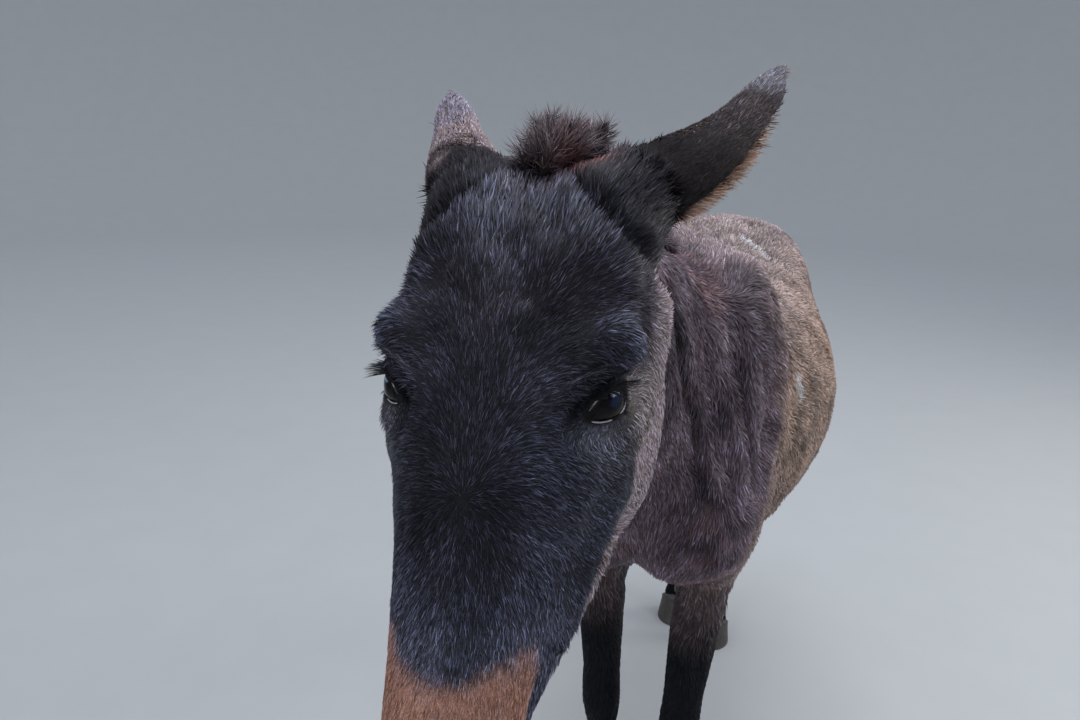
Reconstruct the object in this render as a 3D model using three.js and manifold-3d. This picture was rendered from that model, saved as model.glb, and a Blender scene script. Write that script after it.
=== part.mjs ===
// A life-size mule standing square with its head held out, in millimetres, +Z up, facing -Y.
// Its left side is +X. The origin is on the floor, under the middle of its bounding box.
// The body is one smooth field of distances, made of oval tubes and muscles that blend into each
// other. It is turned into a mesh, thinned out, and parted with thin flat cuts into named pieces.
import * as THREE from "three";
import { mergeVertices } from "three/addons/utils/BufferGeometryUtils.js";
import Module from "manifold-3d";

const wasm = await Module();
wasm.setup();

// Driving dimensions
const WITHERS_HEIGHT = 1250;
const BARREL_HALF_WIDTH = 274;
const FORELEG_X = 72;
const FORELEG_Y = -400;
const HINDLEG_X = 58;
const HINDLEG_Y = 500;
const HOOF = {
  halfWidth: 49,
  halfLength: 57,
  topHalfWidth: 40,
  topHalfLength: 44,
  toeHeight: 74,
  heelHeight: 40,
};
const EAR_LENGTH = 225;
const EAR_WALL = 3.6;
const EYE_RADIUS = 19.5;
const MANE_HEIGHT = 58;
const TAIL_TIP_HEIGHT = 440;
const GAP = 0.3;

// Pose of the head: the poll's place, its size, and how far the face is turned, tipped and rolled
const POLL = new THREE.Vector3(-3.5, -1000, 1367);
const HEAD_SCALE = 1.015;
const HEAD_YAW = THREE.MathUtils.degToRad(4.0);
const HEAD_TIP = THREE.MathUtils.degToRad(50.4);
const HEAD_ROLL = THREE.MathUtils.degToRad(4.6);

const dull = (colour) => new THREE.MeshStandardMaterial({ color: colour, roughness: 0.85, metalness: 0 });
const faceCoat = dull(0x1b181c);
const neckCoat = dull(0x2a2224);
const bodyCoat = dull(0x4a3c36);
const legCoat = dull(0x1d191b);
const hairCoat = dull(0x161315);
const hoofHorn = new THREE.MeshStandardMaterial({ color: 0x2b2724, roughness: 0.6, metalness: 0 });
const eyeGloss = new THREE.MeshStandardMaterial({ color: 0x0c0908, roughness: 0.08, metalness: 0 });

const { clamp, lerp, smoothstep, degToRad } = THREE.MathUtils;
const vec = (x, y, z) => new THREE.Vector3(x, y, z);
const bell = (x, width) => Math.exp(-((x / width) ** 2));

// Numbers that repeat exactly each time the source runs
function seededRandom(seed) {
  let state = seed;
  return () => {
    state = (state * 1664525 + 1013904223) % 4294967296;
    return state / 4294967296;
  };
}

// Fields: each takes a point and gives about how far it lies outside the shape, negative inside

function smoothMin(a, b, k) {
  const share = Math.max(k - Math.abs(a - b), 0) / k;
  return Math.min(a, b) - (share * share * k) / 4;
}
const smoothMax = (a, b, k) => -smoothMin(-a, -b, k);

// A value between stations, on a curve that passes through all of them
function alongStations(stations, key, span, f) {
  const last = stations.length - 1;
  const [p, q, r, s] = [-1, 0, 1, 2].map((n) => stations[clamp(span + n, 0, last)][key]);
  return q + 0.5 * f * (r - p + f * (2 * p - 5 * q + 4 * r - s + f * (3 * q - 3 * r + s - p)));
}

// An oval tube along a smooth line. A station is a point, a half width across, and the reach
// above and below the line. Above is the side's direction crossed with the way the line runs.
function tube(stations, stepsPerSpan = 4) {
  const count = (stations.length - 1) * stepsPerSpan;
  const rings = [];
  for (let n = 0; n <= count; n++) {
    const span = Math.min(Math.floor(n / stepsPerSpan), stations.length - 2);
    rings.push(stations[0].map((_, key) => alongStations(stations, key, span, n / stepsPerSpan - span)));
  }
  const segments = rings.slice(1).map((to, n) => {
    const from = rings[n];
    const run = vec(...to).sub(vec(...from));
    const along = run.clone().normalize();
    const side = vec(1, 0, 0).addScaledVector(along, -along.x).normalize();
    return { from, to, run, along, side, up: side.clone().cross(along), length2: run.lengthSq() };
  });
  return (x, y, z) => {
    let nearest = Infinity;
    for (const { from, to, run, along, side, up, length2 } of segments) {
      const wx = x - from[0];
      const wy = y - from[1];
      const wz = z - from[2];
      const t = Math.min(Math.max((wx * run.x + wy * run.y + wz * run.z) / length2, 0), 1);
      const rx = wx - t * run.x;
      const ry = wy - t * run.y;
      const rz = wz - t * run.z;
      const wide = from[3] + (to[3] - from[3]) * t;
      const above = rx * up.x + ry * up.y + rz * up.z;
      const key = above > 0 ? 4 : 5;
      const high = from[key] + (to[key] - from[key]) * t;
      const across = (rx * side.x + ry * side.y + rz * side.z) / wide;
      const beyond = (rx * along.x + ry * along.y + rz * along.z) / Math.min(wide, high);
      const q = Math.sqrt(across * across + (above * above) / (high * high) + beyond * beyond);
      const reach = Math.sqrt(rx * rx + ry * ry + rz * rz);
      const d = q > 1e-6 ? reach * (1 - 1 / q) : -Math.min(wide, high);
      if (d < nearest) nearest = d;
    }
    return nearest;
  };
}

// An ellipsoid, turned about the X, Y and Z axes by angles in degrees
function blob(at, [ra, rb, rc], turn = [0, 0, 0]) {
  const turned = new THREE.Matrix4().makeRotationFromEuler(new THREE.Euler(...turn.map(degToRad)));
  const e = turned.elements;
  const size = Math.max(ra, rb, rc);
  return (x, y, z) => {
    const dx = x - at[0];
    const dy = y - at[1];
    const dz = z - at[2];
    const away = Math.sqrt(dx * dx + dy * dy + dz * dz) - size;
    if (away > 80) return away;
    const a = (e[0] * dx + e[1] * dy + e[2] * dz) / ra;
    const b = (e[4] * dx + e[5] * dy + e[6] * dz) / rb;
    const c = (e[8] * dx + e[9] * dy + e[10] * dz) / rc;
    const q = Math.sqrt(a * a + b * b + c * c);
    const slope = Math.sqrt((a / ra) ** 2 + (b / rb) ** 2 + (c / rc) ** 2);
    return slope > 1e-9 ? (q * (q - 1)) / slope : -Math.min(ra, rb, rc);
  };
}

// A cone with round ends, from one point and radius to another
function cone(from, fromRadius, to, toRadius) {
  const [ux, uy, uz] = to.map((v, i) => v - from[i]);
  const length2 = ux * ux + uy * uy + uz * uz;
  return (x, y, z) => {
    const wx = x - from[0];
    const wy = y - from[1];
    const wz = z - from[2];
    const t = Math.min(Math.max((wx * ux + wy * uy + wz * uz) / length2, 0), 1);
    const away = (wx - t * ux) ** 2 + (wy - t * uy) ** 2 + (wz - t * uz) ** 2;
    return Math.sqrt(away) - (fromRadius + (toRadius - fromRadius) * t);
  };
}

// The same shape on both sides of the middle plane
const paired = (shape) => (x, y, z) => shape(Math.abs(x), y, z);

// The head has its own frame: x to its left, s down the face from the poll, h out of the forehead

function headAxes() {
  const left = vec(1, 0, 0);
  const down = vec(0, -Math.cos(HEAD_TIP), -Math.sin(HEAD_TIP));
  const out = vec(0, -Math.sin(HEAD_TIP), Math.cos(HEAD_TIP));
  left.applyAxisAngle(down, HEAD_ROLL);
  out.applyAxisAngle(down, HEAD_ROLL);
  for (const axis of [left, down, out])
    axis.applyAxisAngle(vec(0, 0, 1), HEAD_YAW).multiplyScalar(HEAD_SCALE);
  return new THREE.Matrix4().makeBasis(left, down, out).setPosition(POLL);
}
const headToBody = headAxes();
const bodyToHead = headToBody.clone().invert();
const fromHead = (x, s, h) => vec(x, s, h).applyMatrix4(headToBody);
const turnedFromHead = (x, s, h) => fromHead(x, s, h).sub(POLL).normalize();

// Tubes down the face and the jaw. A row is x, s, h, half width, reach out and reach in.
const FACE = [
  [0, 18, -16, 52, 50, 52],
  [0, 62, -6, 78, 64, 60],
  [0, 118, 0, 89, 64, 62],
  [0, 172, 0, 80, 62, 60],
  [0, 230, -2, 72, 56, 54],
  [0, 300, -8, 57, 50, 48],
  [0, 360, -12, 46, 45, 42],
  [0, 415, -16, 40, 43, 40],
  [0, 462, -20, 41, 39, 36],
  [0, 490, -26, 34, 28, 26],
];
const JAW = [
  [0, 96, -90, 50, 40, 56],
  [0, 150, -98, 62, 50, 68],
  [0, 220, -101, 68, 44, 64],
  [0, 300, -84, 52, 38, 45],
  [0, 370, -70, 34, 32, 29],
  [0, 430, -66, 29, 26, 25],
  [0, 470, -64, 26, 20, 21],
];
const faceShape = tube(FACE);
const jawShape = tube(JAW);
const EYE = { x: 64, s: 176, h: 24 };
const GAZE = [0.87, 0.2, 0.36];
const NOSTRIL = { x: 30, s: 463, h: -6 };
const MOUTH = { corner: 424, front: 508, cornerHeight: -42, frontHeight: -52 };

// What swells the head: skull, cheek, cheekbone, orbit, muzzle, lips and chin
const headForms = [
  [paired(blob([50, 84, 18], [38, 68, 42])), 26],
  [paired(blob([60, 148, -58], [35, 86, 80], [-14, 0, 0])), 24],
  [paired(cone([72, 206, -2], 14, [82, 92, -10], 17)), 20],
  [paired(cone([64, 206, 24], 10, [74, 138, 40], 16)), 14],
  [paired(blob([EYE.x, EYE.s, EYE.h - 1], [25, 31, 29])), 14],
  [paired(cone([68, 214, -24], 12, [58, 322, -26], 6)), 20],
  [paired(blob([29, 460, -12], [20, 36, 25])), 14],
  [blob([0, 486, -34], [33, 26, 19]), 14],
  [blob([0, 472, -74], [28, 33, 16]), 12],
  [blob([0, 452, -86], [20, 24, 14]), 12],
  [paired(cone([34, 112, -136], 17, [28, 250, -128], 15)), 24],
];
// What hollows it: above each eye, and along the side of the nose
const headHollows = [
  [paired(blob([58, 122, 64], [13, 22, 10])), 24],
  [paired(blob([86, 330, 24], [18, 70, 26])), 30],
];

// Ears: the middle of the root on the skull, and where the tip is, both in the head's frame
const EARS = {
  left: { side: 1, root: [57, 26, 18], tip: [155, -182, -74], opens: [0.35, 0.25, -0.9] },
  right: { side: -1, root: [-52, 28, 18], tip: [-161, -176, -85], opens: [-0.35, 0.25, -0.9] },
};
const STUMP_LENGTH = 30;
for (const ear of Object.values(EARS)) {
  const [root, tip] = [vec(...ear.root), vec(...ear.tip)];
  const along = tip.sub(root).normalize();
  ear.seat = root.clone().addScaledVector(along, STUMP_LENGTH);
  const inside = root.clone().addScaledVector(along, -16);
  const outside = ear.seat.clone().addScaledVector(along, 12);
  ear.stump = cone(inside.toArray(), 39, outside.toArray(), 36);
  ear.along = turnedFromHead(...along.toArray());
  ear.seat = fromHead(...ear.seat.toArray());
}

function headField(x, y, z) {
  const e = bodyToHead.elements;
  const lx = e[0] * x + e[4] * y + e[8] * z + e[12];
  const s = e[1] * x + e[5] * y + e[9] * z + e[13];
  const h = e[2] * x + e[6] * y + e[10] * z + e[14];
  const far = Math.max(-120 - s, s - 540, Math.abs(lx) - 130, -h - 180, h - 120);
  if (far > 60) return far;
  let d = smoothMin(faceShape(lx, s, h), jawShape(lx, s, h), 34);
  for (const [shape, k] of headForms) d = smoothMin(d, shape(lx, s, h), k);
  for (const ear of Object.values(EARS)) d = smoothMin(d, ear.stump(lx, s, h), 20);
  for (const [shape, k] of headHollows) d = smoothMax(d, -shape(lx, s, h), k);
  const furrow = bell(lx, 10) * smoothstep(s, 40, 110) * (1 - smoothstep(s, 200, 300));
  return d + 2.2 * furrow * smoothstep(h, 0, 40);
}

// Neck and trunk, from the head to the tail. A row is x, y, z, half width, reach up and down.
const NECK = [
  [-3, -970, 1278, 50, 84, 70],
  [-3, -880, 1248, 55, 90, 96],
  [-2, -750, 1200, 60, 106, 128],
  [0, -620, 1140, 74, 138, 160],
  [0, -500, 1066, 98, 180, 190],
  [0, -380, 1000, 134, 224, 200],
];
const TRUNK = [
  [0, -500, 890, 112, 150, 96],
  [0, -440, 926, 148, 210, 174],
  [0, -360, 940, 184, 262, 246],
  [0, -270, 945, 218, 262, 278],
  [0, -150, 925, 250, 252, 284],
  [0, 0, 908, BARREL_HALF_WIDTH, 258, 278],
  [0, 140, 915, BARREL_HALF_WIDTH - 9, 259, 264],
  [0, 270, 946, 236, 246, 254],
  [0, 380, 985, 198, 228, 214],
  [0, 470, 990, 166, 198, 180],
  [0, 540, 980, 116, 150, 140],
];
const neckShape = tube(NECK);
const trunkShape = tube(TRUNK);
const bodyForms = [
  [cone([0, -480, 1146], 60, [0, -345, WITHERS_HEIGHT - 56], 44), 80],
  [cone([0, -345, WITHERS_HEIGHT - 56], 44, [0, -90, 1124], 50), 70],
  [paired(blob([106, -430, 1010], [56, 116, 235], [-24, 0, 0])), 60],
  [paired(blob([104, -524, 880], [56, 72, 88])), 50],
  [paired(blob([108, -405, 824], [52, 112, 106], [28, 0, 0])), 50],
  [paired(blob([52, -544, 850], [46, 54, 74])), 50],
  [paired(blob([64, -446, 804], [44, 84, 50])), 44],
  [paired(blob([98, 400, 1010], [90, 180, 168], [10, 0, 0])), 60],
  [paired(blob([120, 290, 1104], [52, 56, 46])), 55],
  [paired(blob([114, 400, 860], [78, 160, 178], [14, 0, 0])), 50],
  [paired(blob([80, 545, 950], [54, 64, 110])), 44],
  [paired(blob([158, 245, 762], [42, 64, 86], [-20, 0, 0])), 50],
];
const DOCK = { root: [0, 500, 1120], seat: [0, 622, 1064], radius: 31 };
bodyForms.push([cone(DOCK.root, 56, DOCK.seat, DOCK.radius), 50]);

// Legs: the left one of each pair, down from the elbow or the thigh. A row is x, y, z, half width,
// reach back and reach forward, with x and y counted from the place of that leg's foot.
const FORELEG = [
  [26, 26, 780, 50, 84, 84],
  [21, 18, 700, 47, 66, 62],
  [12, 8, 590, 41, 49, 46],
  [6, 2, 485, 35, 37, 36],
  [4, 0, 432, 35, 33, 37],
  [2, -2, 395, 36, 33, 38],
  [1, -2, 355, 31, 34, 30],
  [0, -3, 318, 22, 31, 23],
  [0, -4, 250, 19, 28, 20],
  [0, -5, 202, 21, 29, 22],
  [0, -6, 166, 28, 33, 27],
  [0, -17, 126, 23, 25, 22],
  [0, -33, 86, 31, 30, 30],
  [0, -42, 62, 38, 40, 36],
];
const HINDLEG = [
  [62, -130, 850, 72, 150, 130],
  [66, -160, 760, 62, 140, 108],
  [57, -150, 690, 54, 112, 88],
  [41, -96, 605, 42, 66, 60],
  [28, -42, 535, 33, 46, 42],
  [20, -6, 484, 34, 44, 38],
  [16, 2, 440, 31, 38, 36],
  [11, 2, 388, 24, 34, 27],
  [4, -4, 300, 20, 30, 22],
  [0, -10, 215, 22, 29, 23],
  [0, -14, 170, 28, 33, 27],
  [0, -26, 128, 23, 25, 22],
  [0, -42, 88, 31, 30, 30],
  [0, -51, 64, 38, 40, 36],
];
const LEG_TOP = 850;

// The four legs. Each step is how far that foot stands behind its place in a square stance.
const LEGS = {
  fore_leg_left: { side: 1, foot: [FORELEG_X, FORELEG_Y], rows: FORELEG, step: -30 },
  fore_leg_right: { side: -1, foot: [FORELEG_X, FORELEG_Y], rows: FORELEG, step: 60 },
  hind_leg_left: { side: 1, foot: [HINDLEG_X, HINDLEG_Y], rows: HINDLEG, step: 25 },
  hind_leg_right: { side: -1, foot: [HINDLEG_X, HINDLEG_Y], rows: HINDLEG, step: 105 },
};
for (const leg of Object.values(LEGS)) {
  const at = (x, y, z, ...rest) => {
    const swing = leg.step * clamp(1 - z / LEG_TOP, 0, 1);
    return [leg.side * (leg.foot[0] + x), leg.foot[1] + y + swing, z, ...rest];
  };
  const stations = leg.rows.map((row) => at(...row));
  leg.low = stations[stations.length - 1];
  leg.shapes = [[tube(stations), 46]];
  if (leg.rows === HINDLEG) {
    leg.shapes.push([cone(at(42, -50, 690), 30, at(22, 38, 530), 15), 30]);
    leg.shapes.push([cone(at(22, 38, 530), 15, at(20, 28, 480), 16), 20]);
  }
}

function legField(leg, x, y, z) {
  let d = leg.shapes[0][0](x, y, z);
  for (const [shape, k] of leg.shapes.slice(1)) d = smoothMin(d, shape(x, y, z), k);
  return d;
}

function muleField(x, y, z) {
  let d = Infinity;
  if (z > 480) {
    d = trunkShape(x, y, z);
    if (z > 780 && y < -250) d = smoothMin(d, neckShape(x, y, z), 70);
    for (const [shape, k] of bodyForms) d = smoothMin(d, shape(x, y, z), k);
  }
  if (z < 1050)
    for (const leg of Object.values(LEGS)) {
      if (x * leg.side < -80 || Math.abs(y - leg.foot[1]) > 420) continue;
      const one = legField(leg, x, y, z);
      d = d === Infinity ? one : smoothMin(d, one, z < 600 ? 4 : 46);
    }
  if (y < -700 && z > 780) d = smoothMin(d, headField(x, y, z), 44);
  return d;
}

// Grid values: points far from the surface only get the value at the middle of their block
const BLOCK = 4;
function gridValues(field, low, size, step) {
  const [nx, ny, nz] = size;
  const values = new Float64Array(nx * ny * nz);
  const half = (BLOCK / 2) * step;
  const farEnough = half * Math.sqrt(3) * 1.35 + step;
  const put = (i, j, k, value) => {
    const rim = i * j * k === 0 || i === nx - 1 || j === ny - 1 || k === nz - 1;
    values[i + nx * (j + ny * k)] = rim ? Math.max(value, step) : value || 1e-9;
  };
  for (let bk = 0; bk < nz; bk += BLOCK)
    for (let bj = 0; bj < ny; bj += BLOCK)
      for (let bi = 0; bi < nx; bi += BLOCK) {
        const middle = field(low[0] + bi * step + half, low[1] + bj * step + half, low[2] + bk * step + half);
        const near = Math.abs(middle) < farEnough;
        for (let k = bk; k < Math.min(bk + BLOCK, nz); k++)
          for (let j = bj; j < Math.min(bj + BLOCK, ny); j++)
            for (let i = bi; i < Math.min(bi + BLOCK, nx); i++)
              put(i, j, k, near ? field(low[0] + i * step, low[1] + j * step, low[2] + k * step) : middle);
      }
  return values;
}

const CORNERS = [0, 1].flatMap((k) => [0, 1].flatMap((j) => [0, 1].map((i) => [i, j, k])));
const EDGES = CORNERS.flatMap((_, a) => [1, 2, 4].filter((bit) => !(a & bit)).map((bit) => [a, a | bit]));

// Whether the corners of a cell that lie on one side are all joined to each other by its edges
function joined(mask) {
  const inside = CORNERS.map((_, n) => n).filter((n) => mask & (1 << n));
  const reached = new Set(inside.slice(0, 1));
  for (const n of reached) for (const bit of [1, 2, 4]) if (mask & (1 << (n ^ bit))) reached.add(n ^ bit);
  return reached.size === inside.length;
}
const PLAIN_CELL = Array.from({ length: 256 }, (_, mask) => joined(mask) && joined(255 - mask));

// Surface nets: one vertex in each cell that the surface crosses, and one square across each
// crossed edge of the grid. First, cells that two sheets would share lose their shallowest corner.
function surfaceNet(field, low, high, step) {
  const size = low.map((v, i) => Math.ceil((high[i] - v) / step) + 1);
  const [nx, ny, nz] = size;
  const values = gridValues(field, low, size, step);
  const stride = [1, nx, nx * ny];
  const corner = CORNERS.map(([i, j, k]) => i + nx * (j + ny * k));
  const maskAt = (at) => corner.reduce((mask, offset, n) => mask | (values[at + offset] < 0 ? 1 << n : 0), 0);
  const cells = new Set();
  for (let k = 0; k < nz - 1; k++)
    for (let j = 0; j < ny - 1; j++)
      for (let i = 0; i < nx - 1; i++) {
        const at = i + nx * (j + ny * k);
        const mask = maskAt(at);
        if (mask > 0 && mask < 255) cells.add(at);
      }
  for (let changed = true; changed; ) {
    changed = false;
    for (const at of cells)
      for (let mask = maskAt(at); !PLAIN_CELL[mask]; mask = maskAt(at)) {
        const inside = corner.map((offset) => at + offset).filter((n) => values[n] < 0);
        const shallowest = inside.reduce((a, b) => (values[a] > values[b] ? a : b));
        values[shallowest] = step * 0.02;
        for (const offset of corner) cells.add(shallowest - offset);
        changed = true;
      }
  }
  const vertexOf = new Map();
  const points = [];
  for (const at of cells) {
    const crossings = EDGES.filter(([a, b]) => values[at + corner[a]] < 0 !== values[at + corner[b]] < 0);
    if (!crossings.length) continue;
    const sum = [0, 0, 0];
    for (const [a, b] of crossings) {
      const t = values[at + corner[a]] / (values[at + corner[a]] - values[at + corner[b]]);
      for (let n = 0; n < 3; n++) sum[n] += lerp(CORNERS[a][n], CORNERS[b][n], t) / crossings.length;
    }
    const cell = [at % nx, Math.floor(at / nx) % ny, Math.floor(at / (nx * ny))];
    vertexOf.set(at, points.length);
    points.push(cell.map((v, n) => low[n] + (v + sum[n]) * step));
  }
  drawOnto(field, points, step);
  const triangles = [];
  for (const at of cells)
    for (let n = 0; n < 3; n++) {
      const here = values[at] < 0;
      if (here === values[at + stride[n]] < 0) continue;
      const [u, w] = [stride[(n + 1) % 3], stride[(n + 2) % 3]];
      const square = [at, at - u, at - u - w, at - w].map((cell) => vertexOf.get(cell));
      triangles.push(...halves(points, here ? square : square.reverse()));
    }
  return { points, triangles };
}

// A square as two triangles, split along its shorter diagonal
function halves(points, [a, b, c, d]) {
  const span = (p, q) => Math.hypot(...points[p].map((v, n) => v - points[q][n]));
  return span(a, c) < span(b, d) ? [[a, b, c], [a, c, d]] : [[a, b, d], [b, c, d]];
}

function drawOnto(field, points, step) {
  const small = step * 0.05;
  for (const p of points) {
    const value = field(...p);
    const slope = [
      (field(p[0] + small, p[1], p[2]) - value) / small,
      (field(p[0], p[1] + small, p[2]) - value) / small,
      (field(p[0], p[1], p[2] + small) - value) / small,
    ];
    const steep = Math.max(slope[0] ** 2 + slope[1] ** 2 + slope[2] ** 2, 0.05);
    const share = Math.min(1, (step * 0.4 * Math.sqrt(steep)) / (Math.abs(value) + 1e-9));
    for (let n = 0; n < 3; n++) p[n] -= ((value * slope[n]) / steep) * share;
  }
}

// Thinning: the edge whose loss bends the surface least is closed up, again and again, until few
// enough triangles are left. The error is the sum of squared distances to the planes that met there.
function thinOut({ points, triangles }, target) {
  const faces = triangles.map((t) => [...t]);
  const around = points.map(() => new Set());
  faces.forEach((face, f) => face.forEach((v) => around[v].add(f)));
  const quadric = points.map(() => new Float64Array(10));
  for (const face of faces) {
    const normal = facing(...face.map((v) => points[v]));
    const area = Math.sqrt(dot(normal, normal)) || 1e-9;
    const [a, b, c] = normal.map((v) => v / area);
    const d = -dot([a, b, c], points[face[0]]);
    const terms = [a * a, a * b, a * c, a * d, b * b, b * c, b * d, c * c, c * d, d * d];
    for (const v of face) for (let n = 0; n < 10; n++) quadric[v][n] += terms[n] * area;
  }
  const version = new Uint32Array(points.length);
  const heap = new CheapestFirst();
  const offer = (a, b) => {
    const entry = bestPlace(points[a], points[b], quadric[a].map((v, n) => v + quadric[b][n]));
    heap.push({ a, b, ...entry, versions: [version[a], version[b]] });
  };
  const neighbours = (v) => {
    const found = new Set();
    for (const f of around[v]) for (const w of faces[f]) if (w !== v) found.add(w);
    return found;
  };
  const turnsOver = (v, other, place) => {
    for (const f of around[v]) {
      if (faces[f].includes(other)) continue;
      const before = facing(...faces[f].map((w) => points[w]));
      const after = facing(...faces[f].map((w) => (w === v ? place : points[w])));
      if (dot(before, after) < 0.3 * Math.sqrt(dot(before, before) * dot(after, after))) return true;
    }
    return false;
  };
  for (const [a, b, c] of faces) for (const [p, q] of [[a, b], [b, c], [c, a]]) if (p < q) offer(p, q);
  let left = faces.length;
  while (left > target && heap.entries.length) {
    const { a, b, place, versions } = heap.pop();
    if (versions[0] !== version[a] || versions[1] !== version[b]) continue;
    const nearB = neighbours(b);
    let shared = 0;
    for (const v of neighbours(a)) if (nearB.has(v)) shared++;
    if (shared !== 2 || turnsOver(a, b, place) || turnsOver(b, a, place)) continue;
    points[a] = place;
    quadric[a] = quadric[a].map((v, n) => v + quadric[b][n]);
    for (const f of around[b]) {
      if (faces[f].includes(a)) {
        for (const v of faces[f]) if (v !== b) around[v].delete(f);
        faces[f] = null;
        left--;
      } else {
        faces[f][faces[f].indexOf(b)] = a;
        around[a].add(f);
      }
    }
    around[b].clear();
    version[a]++;
    version[b]++;
    for (const v of neighbours(a)) offer(a, v);
  }
  return { points, triangles: faces.filter(Boolean) };
}

const dot = (a, b) => a[0] * b[0] + a[1] * b[1] + a[2] * b[2];
function facing(a, b, c) {
  const [ux, uy, uz] = [b[0] - a[0], b[1] - a[1], b[2] - a[2]];
  const [vx, vy, vz] = [c[0] - a[0], c[1] - a[1], c[2] - a[2]];
  return [uy * vz - uz * vy, uz * vx - ux * vz, ux * vy - uy * vx];
}

// Where two vertices had best become one, and what that costs
function bestPlace(p, r, q) {
  const errorAt = ([x, y, z]) =>
    q[0] * x * x + 2 * q[1] * x * y + 2 * q[2] * x * z + 2 * q[3] * x + q[4] * y * y +
    2 * q[5] * y * z + 2 * q[6] * y + q[7] * z * z + 2 * q[8] * z + q[9];
  const middle = p.map((v, n) => (v + r[n]) / 2);
  const size2 = (p[0] - r[0]) ** 2 + (p[1] - r[1]) ** 2 + (p[2] - r[2]) ** 2;
  let place = middle;
  let cost = errorAt(middle);
  const consider = (other) => {
    const error = errorAt(other);
    if (error < cost) [place, cost] = [other, error];
  };
  consider(p);
  consider(r);
  const minors = [q[4] * q[7] - q[5] * q[5], q[1] * q[7] - q[5] * q[2], q[1] * q[5] - q[4] * q[2]];
  const determinant = q[0] * minors[0] - q[1] * minors[1] + q[2] * minors[2];
  if (Math.abs(determinant) > 1e-6 * (q[0] + q[4] + q[7]) ** 3) {
    const m = new THREE.Matrix3().set(q[0], q[1], q[2], q[1], q[4], q[5], q[2], q[5], q[7]).invert();
    const ideal = vec(-q[3], -q[6], -q[8]).applyMatrix3(m).toArray();
    const away = ideal.map((v, n) => v - middle[n]);
    if (dot(away, away) < size2) consider(ideal);
  }
  return { place, cost: Math.max(cost, 0) + 1e-4 * size2 };
}

class CheapestFirst {
  entries = [];
  push(entry) {
    const list = this.entries;
    let n = list.push(entry) - 1;
    for (let parent = (n - 1) >> 1; n > 0 && list[parent].cost > entry.cost; parent = (n - 1) >> 1) {
      list[n] = list[parent];
      n = parent;
    }
    list[n] = entry;
  }
  pop() {
    const list = this.entries;
    const top = list[0];
    const moved = list.pop();
    let n = 0;
    for (let child = 1; child < list.length; child = n * 2 + 1) {
      if (child + 1 < list.length && list[child + 1].cost < list[child].cost) child++;
      if (moved.cost <= list[child].cost) break;
      list[n] = list[child];
      n = child;
    }
    if (list.length) list[n] = moved;
    return top;
  }
}

// Solids, and the cuts and joins between them

function solid(geometry) {
  const bare = geometry.clone();
  for (const name of ["normal", "uv"]) bare.deleteAttribute(name);
  const merged = mergeVertices(bare, 1e-4);
  const vertProperties = new Float32Array(merged.attributes.position.array);
  const triVerts = new Uint32Array(merged.index.array);
  const made = new wasm.Manifold(new wasm.Mesh({ numProp: 3, vertProperties, triVerts }));
  if (made.volume() > 0) return made;
  for (let n = 0; n < triVerts.length; n += 3)
    [triVerts[n + 1], triVerts[n + 2]] = [triVerts[n + 2], triVerts[n + 1]];
  return new wasm.Manifold(new wasm.Mesh({ numProp: 3, vertProperties, triVerts }));
}

function geometryOf(points, triangles) {
  const geometry = new THREE.BufferGeometry();
  geometry.setAttribute("position", new THREE.Float32BufferAttribute(points.flat(), 3));
  return geometry.setIndex(triangles.flat());
}

function toGeometry(made) {
  const mesh = made.getMesh();
  const position = new Float32Array(mesh.numVert * 3);
  for (let v = 0; v < mesh.numVert; v++)
    position.set(mesh.vertProperties.subarray(v * mesh.numProp, v * mesh.numProp + 3), v * 3);
  const geometry = new THREE.BufferGeometry();
  geometry.setAttribute("position", new THREE.BufferAttribute(position, 3));
  return geometry.setIndex(new THREE.BufferAttribute(new Uint32Array(mesh.triVerts), 1));
}

const largest = (made) => made.decompose().reduce((a, b) => (a.volume() > b.volume() ? a : b));

function netSolid(low, high, step, target) {
  const net = thinOut(surfaceNet(muleField, low, high, step), target);
  return largest(solid(geometryOf(net.points, net.triangles)));
}

// A closed skin through rings of points, all with the same count, capped at both ends
function loft(rings) {
  const n = rings[0].length;
  const triangles = [];
  for (let r = 0; r + 1 < rings.length; r++)
    for (let i = 0; i < n; i++) {
      const [a, b] = [r * n + i, r * n + ((i + 1) % n)];
      triangles.push([a, b, b + n], [a, b + n, a + n]);
    }
  // Each cap zips across its ring, so that a ring bent like a horseshoe gets its caps too
  const last = (rings.length - 1) * n;
  for (let i = 0; i < n / 2 - 1; i++) {
    const [a, b, c, d] = [i, i + 1, n - 2 - i, n - 1 - i];
    triangles.push([a, d, c], [a, c, b], [last + a, last + c, last + d], [last + a, last + b, last + c]);
  }
  return solid(geometryOf(rings.flat().map((p) => p.toArray()), triangles));
}

// Everything on the far side of a flat cut: a big box whose one face passes through a point
const REACH = 4000;
function beyond(point, direction, offset = 0) {
  const box = new THREE.BoxGeometry(REACH, REACH, REACH).translate(0, 0, REACH / 2 + offset);
  const turn = new THREE.Quaternion().setFromUnitVectors(vec(0, 0, 1), direction.clone().normalize());
  return solid(box.applyQuaternion(turn).translate(point.x, point.y, point.z));
}
const ahead = (point, direction) => beyond(point, direction, GAP / 2);
const behind = (point, direction) => beyond(point, direction.clone().negate(), GAP / 2);
// A narrower cut, which only takes what stands close round one line, such as an ear or a tail
function capOff(made, point, direction, half) {
  const block = new THREE.BoxGeometry(2 * half, 2 * half, 4 * half).translate(0, 0, 2 * half - GAP / 2);
  block.applyQuaternion(new THREE.Quaternion().setFromUnitVectors(vec(0, 0, 1), direction));
  return made.subtract(solid(block.translate(point.x, point.y, point.z)));
}
const region = (cuts) => cuts.map(([point, way]) => beyond(point, way)).reduce((a, b) => a.intersect(b));

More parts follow.
